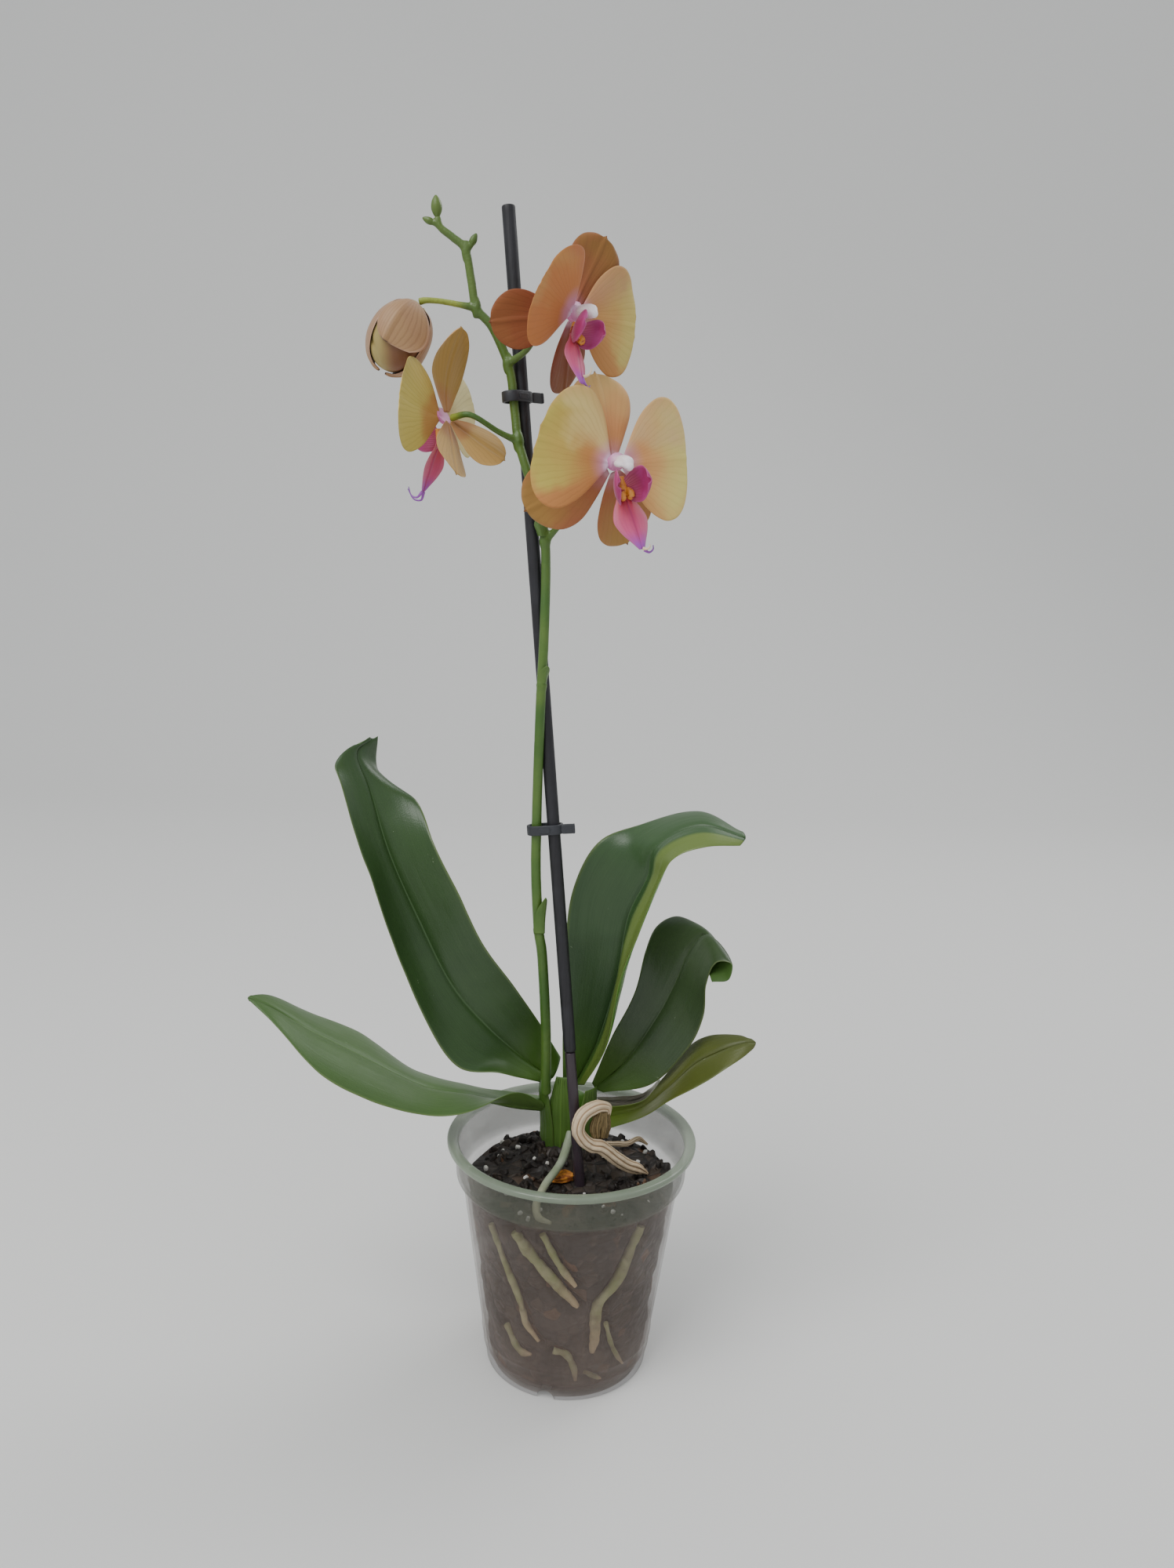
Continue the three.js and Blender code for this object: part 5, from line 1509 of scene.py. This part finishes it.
def middle_lobe(name, pose):
    """The trowel of the lip, keeled along its middle, with its tip turned up."""
    stations = [(-10, 3.6, 2.4), (-13.5, 5, 3.6), (-17.5, 7.6, 6.2), (-22, 10.2, 7.6), (-26.5, 12.4, 6.0),
                (-30.5, 14.0, 3.2), (-33.4, 15.2, 1.2)]

    def rail(side):
        return [(side * half, y, z - 2.6 * abs(side) * (half / 7)) for y, z, half in stations]
    return sheet(name, [rail(1), rail(0), rail(-1)][::-1], 1.0, 60, 36, 0.55,
                 relief=lambda u, t, grid: 0.55 * np.exp(-(u / 0.12) ** 2) + 0.3 * lumps(grid, 8, 4),
                 move=pose)


def moved(points, pose):
    return [tuple(pose @ Vector(p)) for p in points]


TENDRILS = {
    "upper": [([(0.6, -30.6, 14.0), (2.6, -32.8, 15.2), (5.2, -33.0, 14.8), (7.4, -31.2, 13.6)], 0),
              ([(1.0, -29.8, 14.0), (2.8, -28.2, 15.2), (3.2, -26.0, 16.0), (2.7, -24.4, 15.8)], 1)],
    "lower": [([(0.8, -33.8, 15.2), (2.4, -35.0, 16.2), (3.8, -34.0, 17.2), (3.8, -32.2, 17.8)], 0),
              ([(0.4, -33.2, 15.4), (1.4, -33.4, 16.8), (2.2, -32.6, 17.8), (2.2, -31.4, 18.0)], 1)],
    "left": [([(-0.6, -33.6, 15.2), (-1.4, -37.2, 17.6), (-1.6, -36.2, 22.4), (-1.4, -31.0, 25.4)], 0),
             ([(0.6, -33.6, 15.2), (1.2, -36.0, 18.2), (1.6, -34.6, 21.4), (1.4, -30.4, 22.8)], 0)],
}
LIP_TURNS = {"upper": (-15, 0), "lower": (0, 12), "left": (0, 0)}


def build_lip(flower, shape):
    """The lip's lobes, callus and tendrils as one piece."""
    roll, extra = LIP_TURNS[flower]
    pose = turned_flower(shape) @ Matrix.Rotation(math.radians(roll + extra), 4, "Z")
    parts = [middle_lobe(f"{flower}_lip_middle", pose)]
    parts[0].data.materials.append(middle_skin)
    for side in (-1, 1):
        lobe = side_lobe(f"{flower}_lip_ear", side, pose)
        lobe.data.materials.append(lobe_skin)
        parts.append(lobe)
    claw = moved([(0, -4.4, 2.8), (0, -8, 3.0), (0, -12.5, 4.4)], pose)
    bumps = [(moved([(x, -9.6, 4.6), (x * 1.2, -11.6, 6.6), (x * 0.8, -13.6, 6.0)], pose),
              [0.9, 1.5, 1.7, 1.0], 14) for x in (-1.7, 1.7)]
    parts.append(stem(f"{flower}_callus", [(claw, [1.7, 1.8, 2.1, 1.6], 20), *bumps], callus_skin,
                      20, 0.3, 2.0))
    for route, shade in TENDRILS[flower]:
        parts.append(stem(f"{flower}_tendril", [(moved(route, pose), [0.75, 0.5, 0.38, 0.3, 0.2], 34)],
                          tendril_skins[shade], 12))
    return joined(f"{flower}_lip_detail", parts)


COLUMN_LENGTH = 13


def build_column(flower, shape):
    """The white hood over the lip, with its rounded cap."""
    pose = turned_flower(shape) @ Matrix.Rotation(math.radians(LIP_TURNS[flower][0]), 4, "Z")
    trunk = moved([(0, 1.4, 1.2), (0, 1.9, 6), (0, 1.2, 10.2), (0, 0.4, 12.6)], pose)
    cap = moved([(0, 0.6, 10.4), (0, -0.7, 12.2), (0, -2.0, 13.0)], pose)
    wings = [(moved([(x, 0.6, 3.5), (x * 1.3, 0.4, 7.5), (x, -0.2, 11.2)], pose), [1.0, 1.35, 1.3, 0.6], 16)
             for x in (-1.9, 1.9)]
    base = moved([(0, 1.5, -0.5), (0, 0.4, 1.8)], pose)
    paths = [(trunk, [2.0, 2.1, 2.3, 2.6, 2.5, 1.4], 30), (base, [4.4, 3.0], 6),
             (cap, [2.0, 2.2, 1.7, 0.7], 16), *wings]
    piece = grown_stem(f"{flower}_column_hood", paths, column_skin, 0.4, 0.1)
    back_to = np.array(pose.inverted())
    rise = (points_of(piece) @ back_to[:3, :3].T + back_to[:3, 3])[:, 2]
    along = piece.data.attributes.new("along", "FLOAT", "POINT")
    along.data.foreach_set("value", np.clip(rise / COLUMN_LENGTH, 0, 1).astype(float))
    return piece


# %% [markdown]
# The three flowers share those tools and differ in pose, as on the plant: the upper one turns its face to
# the right, the lower one faces nearly forward, and the left one is seen from its side. Each blade is listed
# with its angle round the flower, its lean, its twist and its size.

# %% Three flowers
POSES = {
    "upper": {"roll": -15, "curl": 4, "dorsal": (81, 4, -22),
              "petals": {"left": (182, 14, -20, 0.95), "right": (14, 20)},
              "laterals": {"left": (208, -42, 0, 0.94), "right": (314, -25)}},
    "lower": {"roll": 0, "curl": -2, "dorsal": (97, -18), "petals": {"left": (165, -8), "right": (9, 0)},
              "laterals": {"left": (215, -32, 0, 1.05), "right": (298, -25)}},
    "left": {"roll": 0, "curl": -16, "halves": [2.2, 8, 12.4, 12.6, 9.5, 5, 1.4], "dorsal": (90, 6),
             "petals": {"left": (158, 10), "right": (15, 10, 0, 0.92)},
             "laterals": {"left": (229, -38, 0, 0.84), "right": (296, -22, 0, 0.86)}},
}
BEHIND = -2.2
# Each kind of blade: its place along the flower's axis, then its keel, wave, rolled rim and tip, in mm.
KINDS = {
    "dorsal_sepal": (BEHIND, 0.5, 1.0, 2.4, 1.2),
    "lateral_sepal": (BEHIND, 0.6, 1.0, 1.0, 1.1),
    "petal": (0, 0.35, 1.9, 0.8, 0.0),
}


def blade(flower, part, kind, form, lie, side, material):
    """A sepal or petal of a flower. lie is its angle, lean, twist and size."""
    layer, keel, wave, roll_back, tip = KINDS[kind]
    angle, *rest = lie
    seed = 100 * list(POSES).index(flower) + len(part)
    piece = sheet(f"{flower}_{part}_blade", petal_rails(**form), 0.8, 60, 48, 0.1,
                  petal_relief(seed, keel, wave, roll_back), fan_map(side),
                  petal_pose(FLOWERS[flower], layer, angle + POSES[flower]["roll"], *rest), tip_point(tip))
    place(piece, f"{flower}_flower_{part}", kind.split("_")[-1], material)


for flower, pose in POSES.items():
    shape = FLOWERS[flower]
    skins = {part: petal_skin(f"{flower}_{part}_skin", *shades) for part, shades in SKINS[flower].items()}
    dorsal = {**DORSAL, "curl": pose["curl"], "halves": pose.get("halves", DORSAL["halves"])}
    blade(flower, "dorsal_sepal", "dorsal_sepal", dorsal, pose["dorsal"], 1, skins["dorsal_sepal"])
    for hand, side in (("left", 1), ("right", -1)):
        blade(flower, f"{hand}_lateral_sepal", "lateral_sepal", LATERAL, pose["laterals"][hand], side,
              skins["lateral_sepal"])
        blade(flower, f"{hand}_petal", "petal", PETAL, pose["petals"][hand], side, skins[f"{hand}_petal"])
    lip = build_lip(flower, shape)
    place(lip, f"{flower}_flower_lip", "lip", None)
    place(build_column(flower, shape), f"{flower}_flower_column", "column", None)
    print(flower, "flower is open")

# %% [markdown]
# ## Opening bud
# The bud is just parting. Three sepals close round the folded petals: the front one is keeled and hangs over
# to the right, the left one shows as a strip, and between them a yellowish petal shows.

# %% Bud
base, apex = Vector((-75.2, -5.4, 492.4)), Vector((-89.5, -9, 464.5))
axis = apex - base
bud_turn = Vector((0, 1, 0)).rotation_difference(axis.normalized())
bud_pose = Matrix.Translation(base + axis / 2) @ bud_turn.to_matrix().to_4x4()
HALF = axis.length / 2

bud_skin, w, sockets = finish("bud_skin", Roughness=0.55, Sheen_Weight=0.1)
where, flat = w.place(), w.map()
across = w.math("ABSOLUTE", w.math("SUBTRACT", w.add("SeparateXYZ", {0: flat}, output="X"), 0.5))
along = w.add("SeparateXYZ", {0: flat}, output="Y")
cloud = w.group(BLOTCHES, {"Vector": where, "Scale": 70.0, "Cover": 0.5, "Softness": 0.3})
tone = w.mix(w.math("MULTIPLY", cloud, 0.6), linear("#a8835a"), linear("#9c7258"))
veins = w.group(VEINS, {"Vector": flat, "Count": 13.0, "Wander": 0.5, "Width": 0.3})
tone = w.mix(w.math("MULTIPLY", veins, 0.28), tone, linear("#7a5838"))
tone = w.mix(w.spread(w.fact("rim"), 0.9, 1.0, 0.0, 0.6), tone, linear("#c8a08a"))
tone = w.mix(w.spread(along, 0.12, 0.0, 0.0, 0.6), tone, linear("#b4ba62"))
tip = w.math("MULTIPLY", w.spread(along, 0.95, 1.0), w.spread(across, 0.2, 0.05))
tone = w.mix(tip, tone, linear("#4e3420"))
feed(w, sockets, Base_Color=w.mix(w.fact("front"), linear("#5a3f2a"), tone),
     Normal=w.bump(w.math("SUBTRACT", w.group(GRAIN, {"Vector": where, "Scale": 1400.0}), veins),
                   0.14, 0.0005))


def bud_sepal(name, azimuth, sides, ends, swell, lift):
    """A sepal wrapped round the bud, from its right margin over its keel to its left one.

    sides are the degrees from the keel to each margin, ends where each line stops, lift how far the right
    margin and the tip stand away as it starts to open.
    """
    def rail(side):
        points = []
        for share in (0, 0.17, 0.36, 0.56, 0.75, 0.9, 1):
            polar = 13 + (ends[side + 1] - 13) * share
            sine = math.sin(math.radians(polar))
            angle = math.radians(azimuth + side * sides[side > 0] * math.sqrt(sine) * (1 - 0.35 * share ** 6))
            reach = (13.4 + swell) * sine + lift * share ** 2 * (1, 0.45, 0.1)[side + 1]
            points.append((reach * math.sin(angle), -HALF * math.cos(math.radians(polar)),
                           reach * math.cos(angle)))
        return points
    piece = sheet(f"{name}_skin", [rail(-1), rail(0), rail(1)], 0.9, 60, 44, 0.25,
                  relief=lambda u, t, grid: 0.7 * np.exp(-(u / 0.09) ** 2) * t + 0.3 * lumps(grid, 9, azimuth),
                  move=bud_pose)
    return place(piece, name, "bud", bud_skin)


bud_sepal("bud_front_sepal", 216, (74, 36), (112, 116, 100), 0.3, 2.6)
bud_sepal("bud_right_sepal", 90, (58, 56), (172, 174, 170), -0.3, 0.2)
bud_sepal("bud_left_sepal", 305, (54, 50), (172, 176, 172), -0.2, 0.0)

folded_petal, w, sockets = finish("folded_petal", Roughness=0.55)
where = w.place()
cloud = w.group(BLOTCHES, {"Vector": where, "Scale": 60.0, "Cover": 0.5, "Softness": 0.2})
right = w.spread(w.add("SeparateXYZ", {0: where}, output="X"), -0.092, -0.082)
tone = w.mix(w.math("MAXIMUM", right, w.math("MULTIPLY", cloud, 0.3)), linear("#aa9a5c"), linear("#7c5238"))
feed(w, sockets, Base_Color=tone, Normal=w.bump(w.noise(where, 300.0, 4.0), 0.25, 0.0006))
bpy.ops.mesh.primitive_uv_sphere_add(segments=72, ring_count=48, radius=1)
folded = bpy.context.object
folded.name = folded.data.name = "bud_folded_petals"
points = np.array([v.co for v in folded.data.vertices])[:, [0, 2, 1]]
turn = np.arctan2(points[:, 0], points[:, 2])
crease = 1 - 0.09 * np.exp(-((np.mod(turn * 3 + 4 * points[:, 1], 2 * math.pi) - math.pi) / 0.35) ** 2)
points = points * np.stack([12.3 * crease, np.full_like(turn, HALF - 0.8), 12.3 * crease], 1)
points = points @ np.array(bud_pose.to_3x3()).T + np.array(bud_pose.translation)
set_points(folded, points)
folded.data.flip_normals()
folded.data.shade_smooth()
place(folded, "bud_petals", "petal", folded_petal)
print("the bud is parting")
